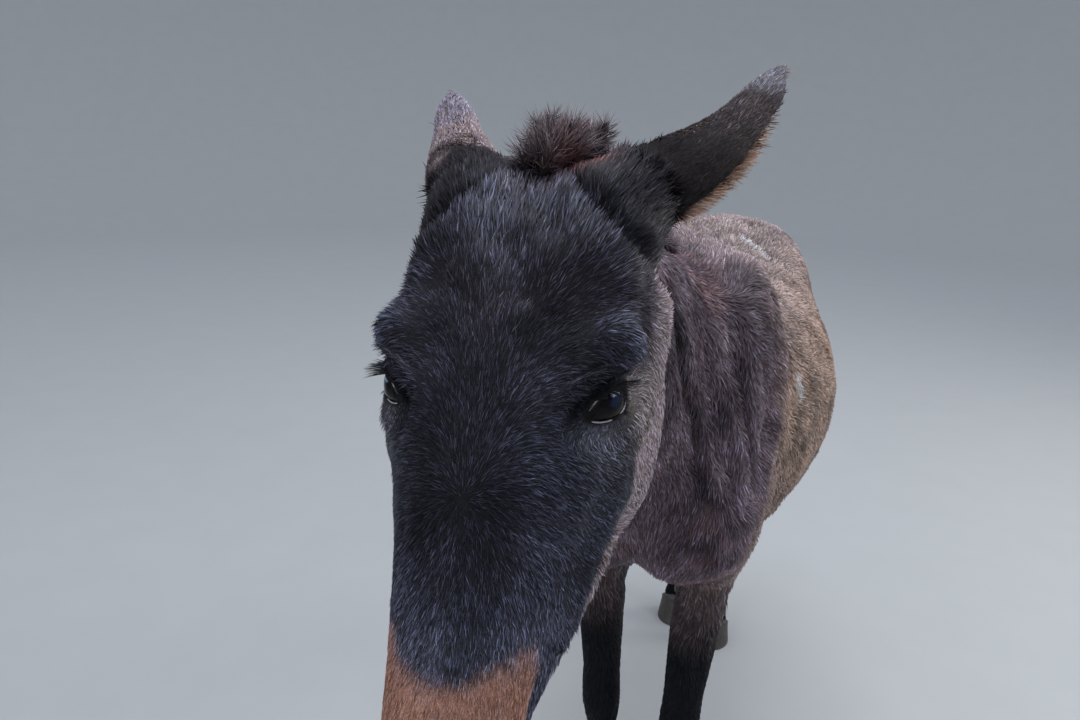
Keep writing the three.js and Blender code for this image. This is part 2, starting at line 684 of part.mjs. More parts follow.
// The flesh as one skin, meshed on three sizes of grid and cut with planes. Each plane's direction
// points to the piece that is nearer to the head, or to the ear or the tail.
const HEAD_CUT = [vec(0, -945, 1290), vec(0, -0.958, -0.287)];
const NECK_CUT = [vec(0, -560, 1050), vec(0, -0.894, 0.447)];
const DOCK_CUT = [vec(0, 612, 1068), vec(0, 0.91, -0.41).normalize()];

const headMiddle = fromHead(0, 235, -25).toArray();
const headReach = [175, 305, 315];
const headLow = headMiddle.map((v, n) => v - headReach[n]);
const headHigh = headMiddle.map((v, n) => v + headReach[n]);
const headWhole = netSolid(headLow, headHigh, 5, 2560);
const bodyWhole = netSolid([-340, -1020, 540], [340, 720, 1420], 18, 2650);

let head = largest(headWhole.intersect(ahead(...HEAD_CUT)));
const neck = largest(bodyWhole.intersect(behind(...HEAD_CUT)).intersect(ahead(...NECK_CUT)));

// Each leg is what lies under a slanting cut, on its own side, and between an end and another
const UNDER = {
  fore: (side, more) => [
    [vec(side * (40 - more), 0, 0), vec(side, 0, 0)],
    [vec(side * 40, 0, 652 + more), vec(side * 0.42, 0, -1)],
    [vec(0, -575 - more, 0), vec(0, 1, 0)],
    [vec(0, -262 + more, 0), vec(0, -1, 0)],
  ],
  hind: (side, more) => [
    [vec(side * (10 - more), 0, 0), vec(side, 0, 0)],
    [vec(0, 235 - more, 672 + more), vec(0, 0.72, -1)],
  ],
};
const LEG_BOX = { fore: [[24, -600, 20], [260, -220, 800]], hind: [[-12, 130, 20], [290, 720, 1010]] };
const legSolids = {};
let trunk = bodyWhole.intersect(behind(...NECK_CUT));
for (const [name, leg] of Object.entries(LEGS)) {
  const kind = leg.rows === FORELEG ? "fore" : "hind";
  const [a, b] = LEG_BOX[kind];
  const low = leg.side > 0 ? a : [-b[0], a[1], a[2]];
  const high = leg.side > 0 ? b : [-a[0], b[1], b[2]];
  const whole = netSolid(low, high, 9, 860);
  legSolids[name] = whole.intersect(region(UNDER[kind](leg.side, -GAP / 2)));
  trunk = trunk.subtract(region(UNDER[kind](leg.side, GAP / 2)));
}
trunk = largest(capOff(trunk, ...DOCK_CUT, 62));

// Hooves: a ring at the floor and one at the coronet, cut on top by the plane where the leg ends
const HOOF_SIDES = 20;
const hoofSolids = {};
for (const [name, leg] of Object.entries(LEGS)) {
  const [x, y] = leg.low;
  const ring = (z, middle, halfWidth, halfLength) =>
    Array.from({ length: HOOF_SIDES }, (_, n) => {
      const angle = (2 * Math.PI * (n + 0.5)) / HOOF_SIDES;
      const rear = Math.sin(angle) > 0 ? 0.86 : 1;
      return vec(x + halfWidth * Math.cos(angle), y + middle + halfLength * rear * Math.sin(angle), z);
    });
  const slope = (HOOF.toeHeight - HOOF.heelHeight) / (2 * HOOF.topHalfLength);
  const coronet = [vec(x, y, (HOOF.toeHeight + HOOF.heelHeight) / 2), vec(0, slope, 1)];
  const rings = [
    ring(0, -16, HOOF.halfWidth - 2, HOOF.halfLength - 2),
    ring(4, -16, HOOF.halfWidth, HOOF.halfLength),
    ring(100, 8, HOOF.topHalfWidth - 4, HOOF.topHalfLength - 4),
  ];
  hoofSolids[name.replace("leg", "hoof")] = loft(rings).intersect(behind(...coronet));
  legSolids[name] = largest(legSolids[name].intersect(ahead(...coronet)));
}

// Eyes: a round socket that opens through an almond between the lids, and the ball in it
const ALMOND = { half: 18, above: 10.5, below: 8.5 };
const eyeSolids = {};
for (const [name, side] of [["eye_left", 1], ["eye_right", -1]]) {
  const centre = fromHead(side * EYE.x, EYE.s, EYE.h);
  const gaze = turnedFromHead(side * GAZE[0], GAZE[1], GAZE[2]);
  const along = turnedFromHead(0, 0.85, 0.53);
  along.addScaledVector(gaze, -along.dot(gaze)).normalize();
  const above = turnedFromHead(side * -0.36, 0.1, 0.87);
  above.addScaledVector(gaze, -above.dot(gaze)).addScaledVector(along, -above.dot(along)).normalize();
  const outline = (distance, size) =>
    Array.from({ length: 20 }, (_, n) => {
      const angle = (2 * Math.PI * n) / 20;
      const lift = Math.sin(angle) * (0.7 + 0.3 * Math.abs(Math.sin(angle)));
      return centre.clone().addScaledVector(gaze, distance)
        .addScaledVector(along, ALMOND.half * size * Math.cos(angle))
        .addScaledVector(above, (lift > 0 ? ALMOND.above : ALMOND.below) * size * lift);
    });
  const ball = (radius, around, down) =>
    solid(new THREE.SphereGeometry(radius, around, down).translate(centre.x, centre.y, centre.z));
  head = head.subtract(loft([outline(8, 0.9), outline(EYE_RADIUS, 1), outline(60, 1.6)]));
  head = head.subtract(ball(EYE_RADIUS + GAP * 1.5, 16, 10));
  eyeSolids[name] = ball(EYE_RADIUS, 16, 10);
}

// Nostrils: a comma-shaped pocket on each side, of two pressed-in ovals
for (const side of [1, -1]) {
  const pocket = (x, s, h, radii, turn) => {
    const oval = new THREE.SphereGeometry(1, 12, 8).scale(...radii);
    const turned = new THREE.Euler(turn[0], side * turn[1], side * turn[2]);
    oval.applyMatrix4(new THREE.Matrix4().makeRotationFromEuler(turned));
    return solid(oval.translate(side * x, s, h).applyMatrix4(headToBody));
  };
  const main = pocket(NOSTRIL.x + 12, NOSTRIL.s + 4, NOSTRIL.h - 2, [11, 17, 8], [-0.35, 0.5, 0.35]);
  const tail = pocket(NOSTRIL.x + 8, NOSTRIL.s - 12, NOSTRIL.h + 12, [9, 13, 5], [0.2, 0.7, 0.3]);
  head = head.subtract(main).subtract(tail);
}

// Mouth: a thin wedge that follows the lips from one corner round the front to the other
function mouthWedge() {
  const turns = 22;
  const centre = [0, 440, -46];
  const rings = [];
  for (let n = 0; n <= turns; n++) {
    const angle = lerp(-1.8, 1.8, n / turns);
    const at = (reach) => {
      const s = centre[1] + reach * Math.cos(angle);
      const share = clamp((s - MOUTH.corner) / (MOUTH.front - MOUTH.corner), 0, 1);
      const h = lerp(MOUTH.cornerHeight, MOUTH.frontHeight, share) - 4 * Math.sin(Math.PI * share);
      return [reach * Math.sin(angle), s, h];
    };
    let [inside, outside] = [0, 120];
    while (outside - inside > 0.2) {
      const reach = (inside + outside) / 2;
      if (muleField(...fromHead(...at(reach)).toArray()) < 0) inside = reach;
      else outside = reach;
    }
    const half = 0.5 + 2 * Math.sin((Math.PI * n) / turns) ** 0.5;
    const place = (reach, lift) => {
      const [x, s, h] = at(reach);
      return fromHead(x, s, h + lift);
    };
    const deep = outside - 3 - 6 * Math.sin((Math.PI * n) / turns);
    rings.push([place(outside + 5, half), place(outside + 5, -half), place(deep, -0.3), place(deep, 0.3)]);
  }
  return loft(rings);
}
head = head.subtract(mouthWedge());

// A neighbour, moved a little each way, so that what is cut with it clears it by a gap
const grown = (made, ways) => ways.map((way) => made.translate(way)).reduce((a, b) => a.add(b));
const aside = GAP * 1.2;

// Ears: a leaf rolled into a cup, wide open towards the tip, on a stump that a plane cuts off
const EAR_ROWS = 9;
const EAR_POINTS = 8;
const EAR_SHAPE = [
  [0, 39, 172],
  [0.14, 40, 158],
  [0.34, 35, 134],
  [0.55, 28, 114],
  [0.75, 20, 100],
  [0.9, 13, 88],
  [1, 5, 80],
];
const earSolids = {};
for (const [name, ear] of Object.entries(EARS)) {
  const opens = turnedFromHead(...ear.opens);
  opens.addScaledVector(ear.along, -opens.dot(ear.along)).normalize();
  const across = opens.clone().cross(ear.along);
  const seat = ear.seat.clone().addScaledVector(ear.along, GAP);
  const rings = [];
  for (let row = 0; row <= EAR_ROWS; row++) {
    const t = row / EAR_ROWS;
    const next = EAR_SHAPE.findIndex(([at]) => at >= t);
    const [from, to] = [EAR_SHAPE[Math.max(next - 1, 0)], EAR_SHAPE[next]];
    const [first, width] = [from[0], to[0] - from[0] + 1e-9];
    const share = 0.5 * smoothstep(t, first, first + width) + (0.5 * (t - first)) / width;
    const radius = lerp(from[1], to[1], share);
    const half = degToRad(lerp(from[2], to[2], share));
    const hollow = Math.max(radius - EAR_WALL, 1) * smoothstep(t, -0.02, 0.16) + 0.8;
    const centre = seat.clone().addScaledVector(ear.along, EAR_LENGTH * t);
    centre.addScaledVector(opens, 16 * Math.sin(Math.PI * t));
    const arc = (reach) =>
      Array.from({ length: EAR_POINTS }, (_, n) => {
        const angle = lerp(-half, half, n / (EAR_POINTS - 1));
        return centre.clone().addScaledVector(opens, -0.8 * reach * Math.cos(angle))
          .addScaledVector(across, reach * Math.sin(angle));
      });
    rings.push([...arc(radius), ...arc(Math.min(hollow, radius - 1.6)).reverse()]);
  }
  const overNeck = [[0, 0, 0], [0, 0, aside], [ear.side * aside, 0, 0], [0, -aside, 0]];
  earSolids["ear_" + name] = largest(loft(rings).subtract(grown(neck, overNeck)));
  head = capOff(head, ear.seat, ear.along, 52);
}
head = largest(head);

// Hair: flat locks with a root sunk into a core, widest past their middle and thinner at the tip
const LOCK = [
  [0, 0.8, 1],
  [0.58, 1, 0.85],
  [1, 0.34, 0.3],
];
function lock({ root, heading, across, length, width, thick, bend }) {
  const flat = across.clone().addScaledVector(heading, -across.dot(heading)).normalize();
  const through = heading.clone().cross(flat).normalize();
  const rings = LOCK.map(([t, wide, deep]) => {
    const centre = root.clone().addScaledVector(heading, length * t).addScaledVector(bend, t * t);
    const point = (a, b) => centre.clone().addScaledVector(flat, (a * wide * width) / 2)
      .addScaledVector(through, (b * deep * thick) / 2);
    return [point(1, 0), point(0, 1), point(-1, 0), point(0, -1)];
  });
  return loft(rings);
}

// Mane: an upright brush along the crest, from between the ears to the withers
function crestHeight(y) {
  let [low, high] = [1050, 1520];
  while (high - low > 0.2) {
    const middle = (low + high) / 2;
    if (muleField(0, y, middle) < 0) low = middle;
    else high = middle;
  }
  return low;
}
const MANE_FROM = -1018;
const MANE_TO = -352;
const MANE_STEPS = 26;
const crest = Array.from({ length: MANE_STEPS + 1 }, (_, n) => {
  const y = lerp(MANE_FROM, MANE_TO, n / MANE_STEPS);
  return vec(0, y, crestHeight(y));
});
const maneReach = (t) =>
  MANE_HEIGHT * (1 - 0.45 * smoothstep(t, 0.3, 1)) * (0.72 + 0.28 * smoothstep(t, 0, 0.08));

function buildMane() {
  const random = seededRandom(7);
  const coreRings = [];
  const locks = [];
  crest.forEach((point, n) => {
    const before = crest[Math.max(n - 1, 0)];
    const after = crest[Math.min(n + 1, MANE_STEPS)];
    const along = after.clone().sub(before).normalize();
    const out = vec(1, 0, 0).cross(along).normalize();
    const t = n / MANE_STEPS;
    const reach = maneReach(t);
    if (n % 2 === 0) {
      const half = 19 * (t > 0.9 ? 0.7 : 1);
      coreRings.push(Array.from({ length: 6 }, (_, i) => {
        const angle = (Math.PI * (i + 0.5)) / 3;
        return point.clone().add(vec(half * Math.cos(angle), 0, 0))
          .addScaledVector(out, (Math.sin(angle) > 0 ? 0.48 * reach : 14) * Math.sin(angle));
      }));
    }
    for (const side of n % 2 ? [-0.95, 0.95] : [-0.3, 0.4]) {
      const lean = 0.09 + side * (0.34 + 0.14 * random());
      const heading = out.clone().addScaledVector(along, 0.24 * (random() - 0.2));
      heading.add(vec(lean, 0, 0)).normalize();
      locks.push(lock({
        root: point.clone().add(vec(side * 13, 0, 0)).addScaledVector(out, -6),
        heading,
        across: along.clone().add(vec(0.5 * (random() - 0.5), 0, 0)),
        length: (reach + 6) * (0.9 + 0.14 * random() - 0.2 * Math.abs(side)),
        width: 54 + 8 * random(),
        thick: 19,
        bend: vec(side * 7 + 6 * (random() - 0.5), 9 * random(), 0),
      }));
    }
  });
  return locks.reduce((made, one) => made.add(one), loft(coreRings));
}

const overCrest = [[aside, 0, 0], [-aside, 0, 0], [0, -aside * 0.4, aside], [0, 0, aside * 1.2]];
let mane = buildMane();
for (const made of [head, neck, trunk, ...Object.values(earSolids)])
  mane = mane.subtract(grown(made, overCrest));
mane = largest(mane);

// Tail: the dock as a slim core, and locks that grow from all round it and hang past its end
const TAIL = [
  [612, 1068, 30],
  [636, 1052, 27],
  [654, 1015, 24],
  [664, 945, 22],
  [664, 845, 20],
  [660, 735, 17],
  [656, 660, 12],
];
const TAIL_LOCKS = 28;
const TAIL_FULL = 38;
function buildTail() {
  const random = seededRandom(11);
  const start = vec(0, TAIL[0][0], TAIL[0][1]).addScaledVector(DOCK_CUT[1], GAP / 2);
  const coreRings = TAIL.map(([y, z, radius], n) => {
    const [from, to] = [TAIL[Math.max(n - 1, 0)], TAIL[Math.min(n + 1, TAIL.length - 1)]];
    const along = n ? vec(0, to[0] - from[0], to[1] - from[1]).normalize() : DOCK_CUT[1].clone();
    const out = vec(1, 0, 0).cross(along).normalize();
    const centre = n ? vec(0, y, z) : start;
    return Array.from({ length: 10 }, (_, i) => {
      const angle = (2 * Math.PI * i) / 10;
      return centre.clone().add(vec(radius * Math.cos(angle), 0, 0))
        .addScaledVector(out, radius * Math.sin(angle));
    });
  });
  const locks = [];
  for (let n = 0; n < TAIL_LOCKS; n++) {
    const share = n / (TAIL_LOCKS - 1);
    const z = lerp(1010, 690, share);
    const angle = n * 2.4;
    const outward = vec(Math.cos(angle), Math.sin(angle), 0);
    const length = Math.min(250 + 90 * random(), z - TAIL_TIP_HEIGHT - 30 * random());
    locks.push(lock({
      root: vec(0, 660 - 8 * bell(z - 1020, 40), z).addScaledVector(outward, 10),
      heading: vec(0.075 * outward.x, 0.075 * outward.y, -1).normalize(),
      across: vec(-outward.y, outward.x, 0),
      length,
      width: TAIL_FULL + 8 * random(),
      thick: 17,
      bend: outward.clone().multiplyScalar(-6 - 8 * random()),
    }));
  }
  return locks.reduce((made, one) => made.add(one), loft(coreRings));
}
let tail = buildTail().intersect(ahead(...DOCK_CUT));
const behindRump = [[0, aside, 0], [0, aside, -aside], [aside, 0, 0], [-aside, 0, 0]];
for (const made of [trunk, legSolids.hind_leg_left, legSolids.hind_leg_right])
  tail = tail.subtract(grown(made, behindRump));
tail = largest(tail);

// Every named piece with its colour, stood on the floor with its middle over the origin
const pieces = { head: [head, faceCoat], neck: [neck, neckCoat], torso: [trunk, bodyCoat] };
for (const [name, made] of Object.entries(eyeSolids)) pieces[name] = [made, eyeGloss];
for (const [name, made] of Object.entries(earSolids)) pieces[name] = [made, faceCoat];
for (const [name, made] of Object.entries(legSolids)) pieces[name] = [made, legCoat];
for (const [name, made] of Object.entries(hoofSolids)) pieces[name] = [made, hoofHorn];
pieces.mane = [mane, hairCoat];
pieces.tail = [tail, hairCoat];

const mule = new THREE.Group();
for (const [name, [made, material]] of Object.entries(pieces)) {
  const mesh = new THREE.Mesh(toGeometry(made), material);
  mesh.name = name;
  mule.add(mesh);
}
const bounds = new THREE.Box3().setFromObject(mule);
const middle = bounds.getCenter(vec(0, 0, 0));
mule.children.forEach((mesh) => mesh.position.set(-middle.x, -middle.y, -bounds.min.z));

export default mule;
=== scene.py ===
import math

import bmesh
import bpy
import numpy as np
from mathutils import Matrix, Vector


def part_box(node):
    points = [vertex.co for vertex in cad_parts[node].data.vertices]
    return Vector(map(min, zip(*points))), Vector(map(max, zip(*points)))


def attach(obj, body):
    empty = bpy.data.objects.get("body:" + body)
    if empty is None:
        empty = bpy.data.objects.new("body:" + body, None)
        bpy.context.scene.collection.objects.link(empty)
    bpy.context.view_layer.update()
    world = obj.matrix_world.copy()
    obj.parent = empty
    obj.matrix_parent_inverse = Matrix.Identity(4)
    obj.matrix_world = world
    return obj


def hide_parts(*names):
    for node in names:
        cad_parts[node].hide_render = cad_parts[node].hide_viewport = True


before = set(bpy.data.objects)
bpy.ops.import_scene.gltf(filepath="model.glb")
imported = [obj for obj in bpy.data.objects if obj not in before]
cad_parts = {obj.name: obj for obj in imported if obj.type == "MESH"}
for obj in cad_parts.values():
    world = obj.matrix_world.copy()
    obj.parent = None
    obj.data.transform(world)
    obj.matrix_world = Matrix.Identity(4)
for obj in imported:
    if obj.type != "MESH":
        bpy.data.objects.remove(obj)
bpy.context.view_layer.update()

random = np.random.default_rng(21)
MM = 0.001
ENDS = ("fore", "hind")
SIDES = {"left": 1, "right": -1}
FLESH = ["head", "neck", "torso"] + [f"{end}_leg_{side}" for end in ENDS for side in SIDES]


# Small helpers for arrays of numbers and points

def smooth(x, low, high):
    t = np.clip((x - low) / (high - low), 0, 1)
    return t * t * (3 - 2 * t)


def bell(x, width):
    return np.exp(-((x / width) ** 2))


def mix(a, b, t):
    return a + (b - a) * t


def blend(a, b, share):
    """Colours or ways a turned into b by a share for each row."""
    return a + (np.asarray(b) - a) * share[:, None]


def unit(v):
    return v / np.maximum(np.linalg.norm(v, axis=-1, keepdims=True), 1e-9)


def dot(a, b):
    return (a * b).sum(-1)


def along_surface(v, normal):
    return v - normal * dot(v, normal)[:, None]


def angles(count):
    """Angles spread evenly over a full turn."""
    return np.arange(count) * 2 * math.pi / count


def turn_share(a, b):
    """The angle of the place (b, a) as a share of a full turn, from 0 to 1."""
    return np.arctan2(a, b) / (2 * math.pi) + 0.5


LATTICE = np.random.default_rng(5).random(4096)


def noise(points, size, seed=0):
    """Smooth values from 0 to 1 that change over about that size."""
    p = points / size + 1000.0
    cell = np.floor(p).astype(np.int64)
    f = p - cell
    f = f * f * (3 - 2 * f)
    total = np.zeros(len(p))
    for corner in range(8):
        step = np.array([corner & 1, corner >> 1 & 1, corner >> 2 & 1])
        i, j, k = (cell + step).T
        key = (i * 73856093 ^ j * 19349663 ^ k * 83492791 ^ seed * 2654435761) & 4095
        total += LATTICE[key] * np.prod(np.where(step, f, 1 - f), axis=1)
    return total


def drift(points, size, seed):
    """A smooth random way for each point, up to half a unit long on each axis."""
    return np.stack([noise(points, size, seed + n) - 0.5 for n in range(3)], 1)


# The head's frame, in millimetres: x to its left, s down the face, h out of the forehead

HEAD_YAW, HEAD_TIP, HEAD_ROLL = (math.radians(angle) for angle in (4.0, 50.4, 4.6))
HEAD_SCALE = 1.015
EYE = np.array([64.0, 176.0, 24.0])
EYE_RADIUS = 19.5


def turned(v, axis, angle):
    return Matrix.Rotation(angle, 3, Vector(axis)) @ Vector(v)


def head_axes():
    down = (0, -math.cos(HEAD_TIP), -math.sin(HEAD_TIP))
    out = (0, -math.sin(HEAD_TIP), math.cos(HEAD_TIP))
    axes = [turned((1, 0, 0), down, HEAD_ROLL), down, turned(out, down, HEAD_ROLL)]
    return np.array([turned(axis, (0, 0, 1), HEAD_YAW) for axis in axes]) * HEAD_SCALE * MM


def middle_of(node):
    low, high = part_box(node)
    return np.array((low + high) / 2)


HEAD_AXES = head_axes()
HEAD_BACK = np.linalg.inv(HEAD_AXES)
EYES_MIDDLE = (middle_of("eye_left") + middle_of("eye_right")) / 2
HEAD_ORIGIN = EYES_MIDDLE - (EYE * [0, 1, 1]) @ HEAD_AXES


def from_head(*at):
    return np.array(at, float) @ HEAD_AXES + HEAD_ORIGIN


def to_head(points):
    return (points - HEAD_ORIGIN) @ HEAD_BACK


def head_way(*way):
    return unit(np.array(way, float) @ HEAD_AXES)


# Regions, as shares from 0 to 1

FORE_Y, HIND_Y = (middle_of(f"{end}_hoof_left")[1] for end in ENDS)

# How high the coat stands, in millimetres: poll, jaw and rear are added to their neighbours
COAT = {"body": 4.0, "rear": 0.6, "legs": 2.4, "face": 1.4, "poll": 4.6, "jaw": 2.6}


def head_share(points):
    _, s, h = to_head(points).T
    return smooth(0.831 * (s - 24) + 0.555 * (h + 91), -35, 25)


def leg_share(points):
    y, z = points[:, 1], points[:, 2]
    near = np.maximum(1 - smooth(y, FORE_Y + 0.2, FORE_Y + 0.32), smooth(y, HIND_Y - 0.3, HIND_Y - 0.16))
    return (1 - smooth(z, 0.55, 0.74)) * near


def coat_depth(points):
    """How high the tips of the coat stand over the skin, in metres."""
    _, s, h = to_head(points).T
    face = COAT["face"] + COAT["poll"] * (1 - smooth(s, 15, 115))
    face += COAT["jaw"] * smooth(-h, 60, 110) * (1 - smooth(s, 330, 420))
    body = COAT["body"] + COAT["rear"] * smooth(points[:, 1], -0.2, 0.2)
    depth = mix(body, COAT["legs"], leg_share(points))
    return mix(depth, face, head_share(points)) * MM


# Root and tip of each ear, in the head's frame
EARS = {"left": ((57, 26, 18), (155, -182, -74)), "right": ((-52, 28, 18), (-161, -176, -85))}


def ear_frame(side):
    """Root, way and length of an ear."""
    root, tip = (from_head(*at) for at in EARS[side])
    return root, unit(tip - root), np.linalg.norm(tip - root)


# The crease where the ear's foot rises from the forehead: places across and down the head
EAR_CREASE = [[12, 27, 40, 57, 70, 90], [4, 24, 42, 59, 69, 75]]


def above_crease(points, side):
    """How far, in millimetres, a point lies on the ear's side of the crease."""
    x, s, _ = to_head(points).T
    return np.interp(x * SIDES[side], *EAR_CREASE) - s


def ear_base(points, side):
    """Share of the skin that belongs to the foot of an ear."""
    root, axis, _ = ear_frame(side)
    along = (points - root) @ axis
    off = np.linalg.norm(points - root - along[:, None] * axis, axis=1)
    x = to_head(points)[:, 0] * SIDES[side]
    own = smooth(above_crease(points, side), -6, 8) * smooth(x, 10, 24)
    return own * (1 - smooth(off, 0.07, 0.095)) * smooth(along, -0.1, -0.07)


# The eyes: each has an almond opening, in millimetres along its own axes

def eye_frame(side):
    """Centre and axes of an eye: the way it looks, from the outer to the inner corner, and up."""
    sign = SIDES[side]
    centre = middle_of(f"eye_{side}")
    gaze = head_way(sign * 0.84, 0.25, 0.43)
    inward = head_way(0, 0.85, 0.53)
    inward = unit(inward - gaze * dot(inward, gaze))
    upward = head_way(sign * -0.36, 0.1, 0.87)
    upward = unit(upward - gaze * dot(upward, gaze) - inward * dot(upward, inward))
    return centre, gaze, inward, upward


OPENING = {"half": 18.6, "above": 10.6, "below": 8.8}


def opening_height(share, upper):
    """How far the lid's edge stands off the middle line, at a share from corner to corner."""
    return (OPENING["above"] if upper else OPENING["below"]) * np.clip(1 - share**2, 0, 1) ** 0.62


def around_eye(points, side):
    """Each point's reach over the opening, which is 1 on the lid's edge, then its parts inward, upward
    and along the gaze, and its place from the eye's centre, in millimetres."""
    centre, gaze, inward, upward = eye_frame(side)
    off = (points - centre) / MM
    a, u, g = dot(off, inward), dot(off, upward), dot(off, gaze)
    half_height = np.where(u > 0, OPENING["above"], OPENING["below"])
    reach = np.sqrt((a / OPENING["half"]) ** 2 + (u / half_height) ** 2)
    return reach, a, u, g, off


# The lie of the coat: from a whorl between the eyes out and down over the face, then to the tail

WHORL = 262
LIE = {
    "neck": (0, 0.42, -0.9),
    "trunk": (0, 0.78, -0.62),
    "rump": (0, 0.3, -0.95),
    "leg": (0, 0.06, -1.0),
    "back": (0, 1, 0),
}


def flow_on_face(points):
    x, s, _ = to_head(points).T
    away = np.abs(x)
    rise = mix(bell(x, 60), 1, 1 - smooth(s, 60, 140))
    above = [1.25 * x, (s - WHORL) * rise + 70 * (1 - rise), -(0.5 + 0.6 * (1 - rise)) * away]
    below = [1.15 * x, s - WHORL + 24, -0.4 * away]
    way = blend(np.stack(above, 1), np.stack(below, 1), smooth(s, WHORL - 22, WHORL + 22))
    return unit(way @ HEAD_AXES)


def flow(points, normals):
    """The way the hair lies at each point, along the surface."""
    y = points[:, 1]
    way = blend(LIE["neck"], LIE["trunk"], smooth(y, -0.3, 0.05))
    way = blend(way, LIE["rump"], smooth(y, HIND_Y - 0.22, HIND_Y + 0.02))
    breast = smooth(-normals[:, 1], 0.4, 0.8) * (y < FORE_Y)
    way = blend(way, LIE["leg"], np.maximum(leg_share(points), breast))
    way = blend(way, LIE["back"], smooth(normals[:, 2], 0.6, 0.95) * (y > -0.5))
    way = blend(way, flow_on_face(points), head_share(points))
    for side in SIDES:
        way = blend(way, ear_frame(side)[1], ear_base(points, side))
    for side in SIDES:
        q, a, u, g, _ = around_eye(points, side)
        _, _, inward, upward = eye_frame(side)
        outward = unit(a[:, None] * inward + u[:, None] * upward)
        way = blend(way, outward, (1 - smooth(q, 1.3, 2.6)) * (g > -5) * (g < 60))
    way = unit(along_surface(way, normals))
    swirl = (noise(points, 0.07, 1) - 0.5) * mix(0.9, 0.2, head_share(points))
    return unit(way * np.cos(swirl)[:, None] + np.cross(normals, way) * np.sin(swirl)[:, None])


# Markings with painted sheen, highlights and shade: one set of colours for the skin and the coat, as
# shares of reflected red, green and blue

BLACK = (0.0125, 0.0112, 0.0150)
FOREHEAD = (0.0170, 0.0130, 0.0165)
UNDER_EYE = (0.17, 0.165, 0.19)
# A painted bluish sheen on the black face
SLATE_PAINTED_SHEEN = (0.068, 0.068, 0.092)
TAN = (0.640, 0.330, 0.235)
PALE = (0.275, 0.215, 0.220)
GREY_TAN = (0.270, 0.225, 0.210)
RUST = (0.220, 0.065, 0.045)
NECK_BROWN = (0.098, 0.072, 0.086)
BODY_BROWN = (0.285, 0.200, 0.155)
# Partly the back's own grey, partly a painted sky sheen
BACK_GREY_AND_PAINTED_SHEEN = (0.200, 0.175, 0.200)
BELLY = (0.115, 0.083, 0.085)
# Painted highlight on the ridges of the neck's folds
NECK_RIDGE_PAINTED_HIGHLIGHT = (0.240, 0.190, 0.220)
LEG_BLACK = (0.0055, 0.0052, 0.0070)
SCAR = (0.60, 0.58, 0.58)
EAR_BLACK = (0.0105, 0.0080, 0.0094)
NOSE_DARK = (0.045, 0.030, 0.028)
LID_BLACK = (0.008, 0.007, 0.008)
# Painted shade: the skin under the fur is darkened by this share
UNDER_FUR_PAINTED_SHADE = 0.75

# The edge of the pale jaw: places down the head, and out of the forehead
JAW_EDGE = [[30, 60, 110, 160, 198, 222, 250, 300, 360], [44, 32, 12, 6, 2, -30, -58, -76, -80]]


def spot(points, at, size):
    """A soft patch: 1 at its middle, falling off over its size on each axis."""
    return bell(np.linalg.norm((points - at) / size, axis=1), 1)


def stroke(points, path, width, height):
    """A soft ridge, or a groove where the height is negative, along a path on both sides."""
    p = np.array(points)
    p[:, 0] = np.abs(p[:, 0])
    nearest = np.full(len(p), np.inf)
    for start, end in zip(path[:-1], path[1:]):
        start, end = np.array(start), np.array(end)
        run = end - start
        t = np.clip((p - start) @ run / (run @ run), 0, 1)
        nearest = np.minimum(nearest, np.linalg.norm(p - start - t[:, None] * run, axis=1))
    return height * bell(nearest, width)


# Folds of the neck and shoulder: width and height in metres, and a path in the head's frame
NECK_FOLDS = [
    (0.015, -0.008, [
        (50, -75, -284), (57, -47, -330), (60, -27, -398), (63, -5, -474), (72, 27, -533), (83, 82, -577),
    ]),
    (0.014, 0.006, [(60, -70, -330), (70, -50, -400), (74, -32, -462), (84, 0, -520), (96, 60, -570)]),
    (0.013, -0.007, [(70, -100, -400), (88, -80, -480), (98, -40, -515), (110, 5, -556), (120, 70, -596)]),
    (0.017, 0.008, [(80, -124, -486), (96, -82, -517), (107, -34, -539), (120, 9, -574), (130, 68, -606)]),
    (0.011, -0.006, [(100, -150, -500), (112, -100, -530), (122, -50, -553), (131, -5, -590)]),
    (0.016, 0.007, [
        (112, -164, -524), (127, -110, -542), (135, -61, -566), (141, -16, -600), (147, 30, -634),
    ]),
]
DEEPEST_FOLD = 0.008


def neck_folds(points):
    """Height of the folds in metres, on both sides."""
    place = points + 0.016 * drift(points, 0.05, 18)
    height = np.zeros(len(points))
    for width, rise, path in NECK_FOLDS:
        height += stroke(place, [from_head(*at) for at in path], width, rise)
    return height


def scars(points):
    """A healed patch on the flank and a short row on the back."""
    scar = 1.6 * spot(points, [0.203, 0.007, 1.023], [0.03, 0.014, 0.026])
    first, last = np.array([0.056, 0.536, 1.179]), np.array([0.105, 0.475, 1.149])
    for share in np.linspace(0, 1, 5):
        scar = np.maximum(scar, spot(points, mix(first, last, share), [0.013, 0.011, 0.013]))
    return scar


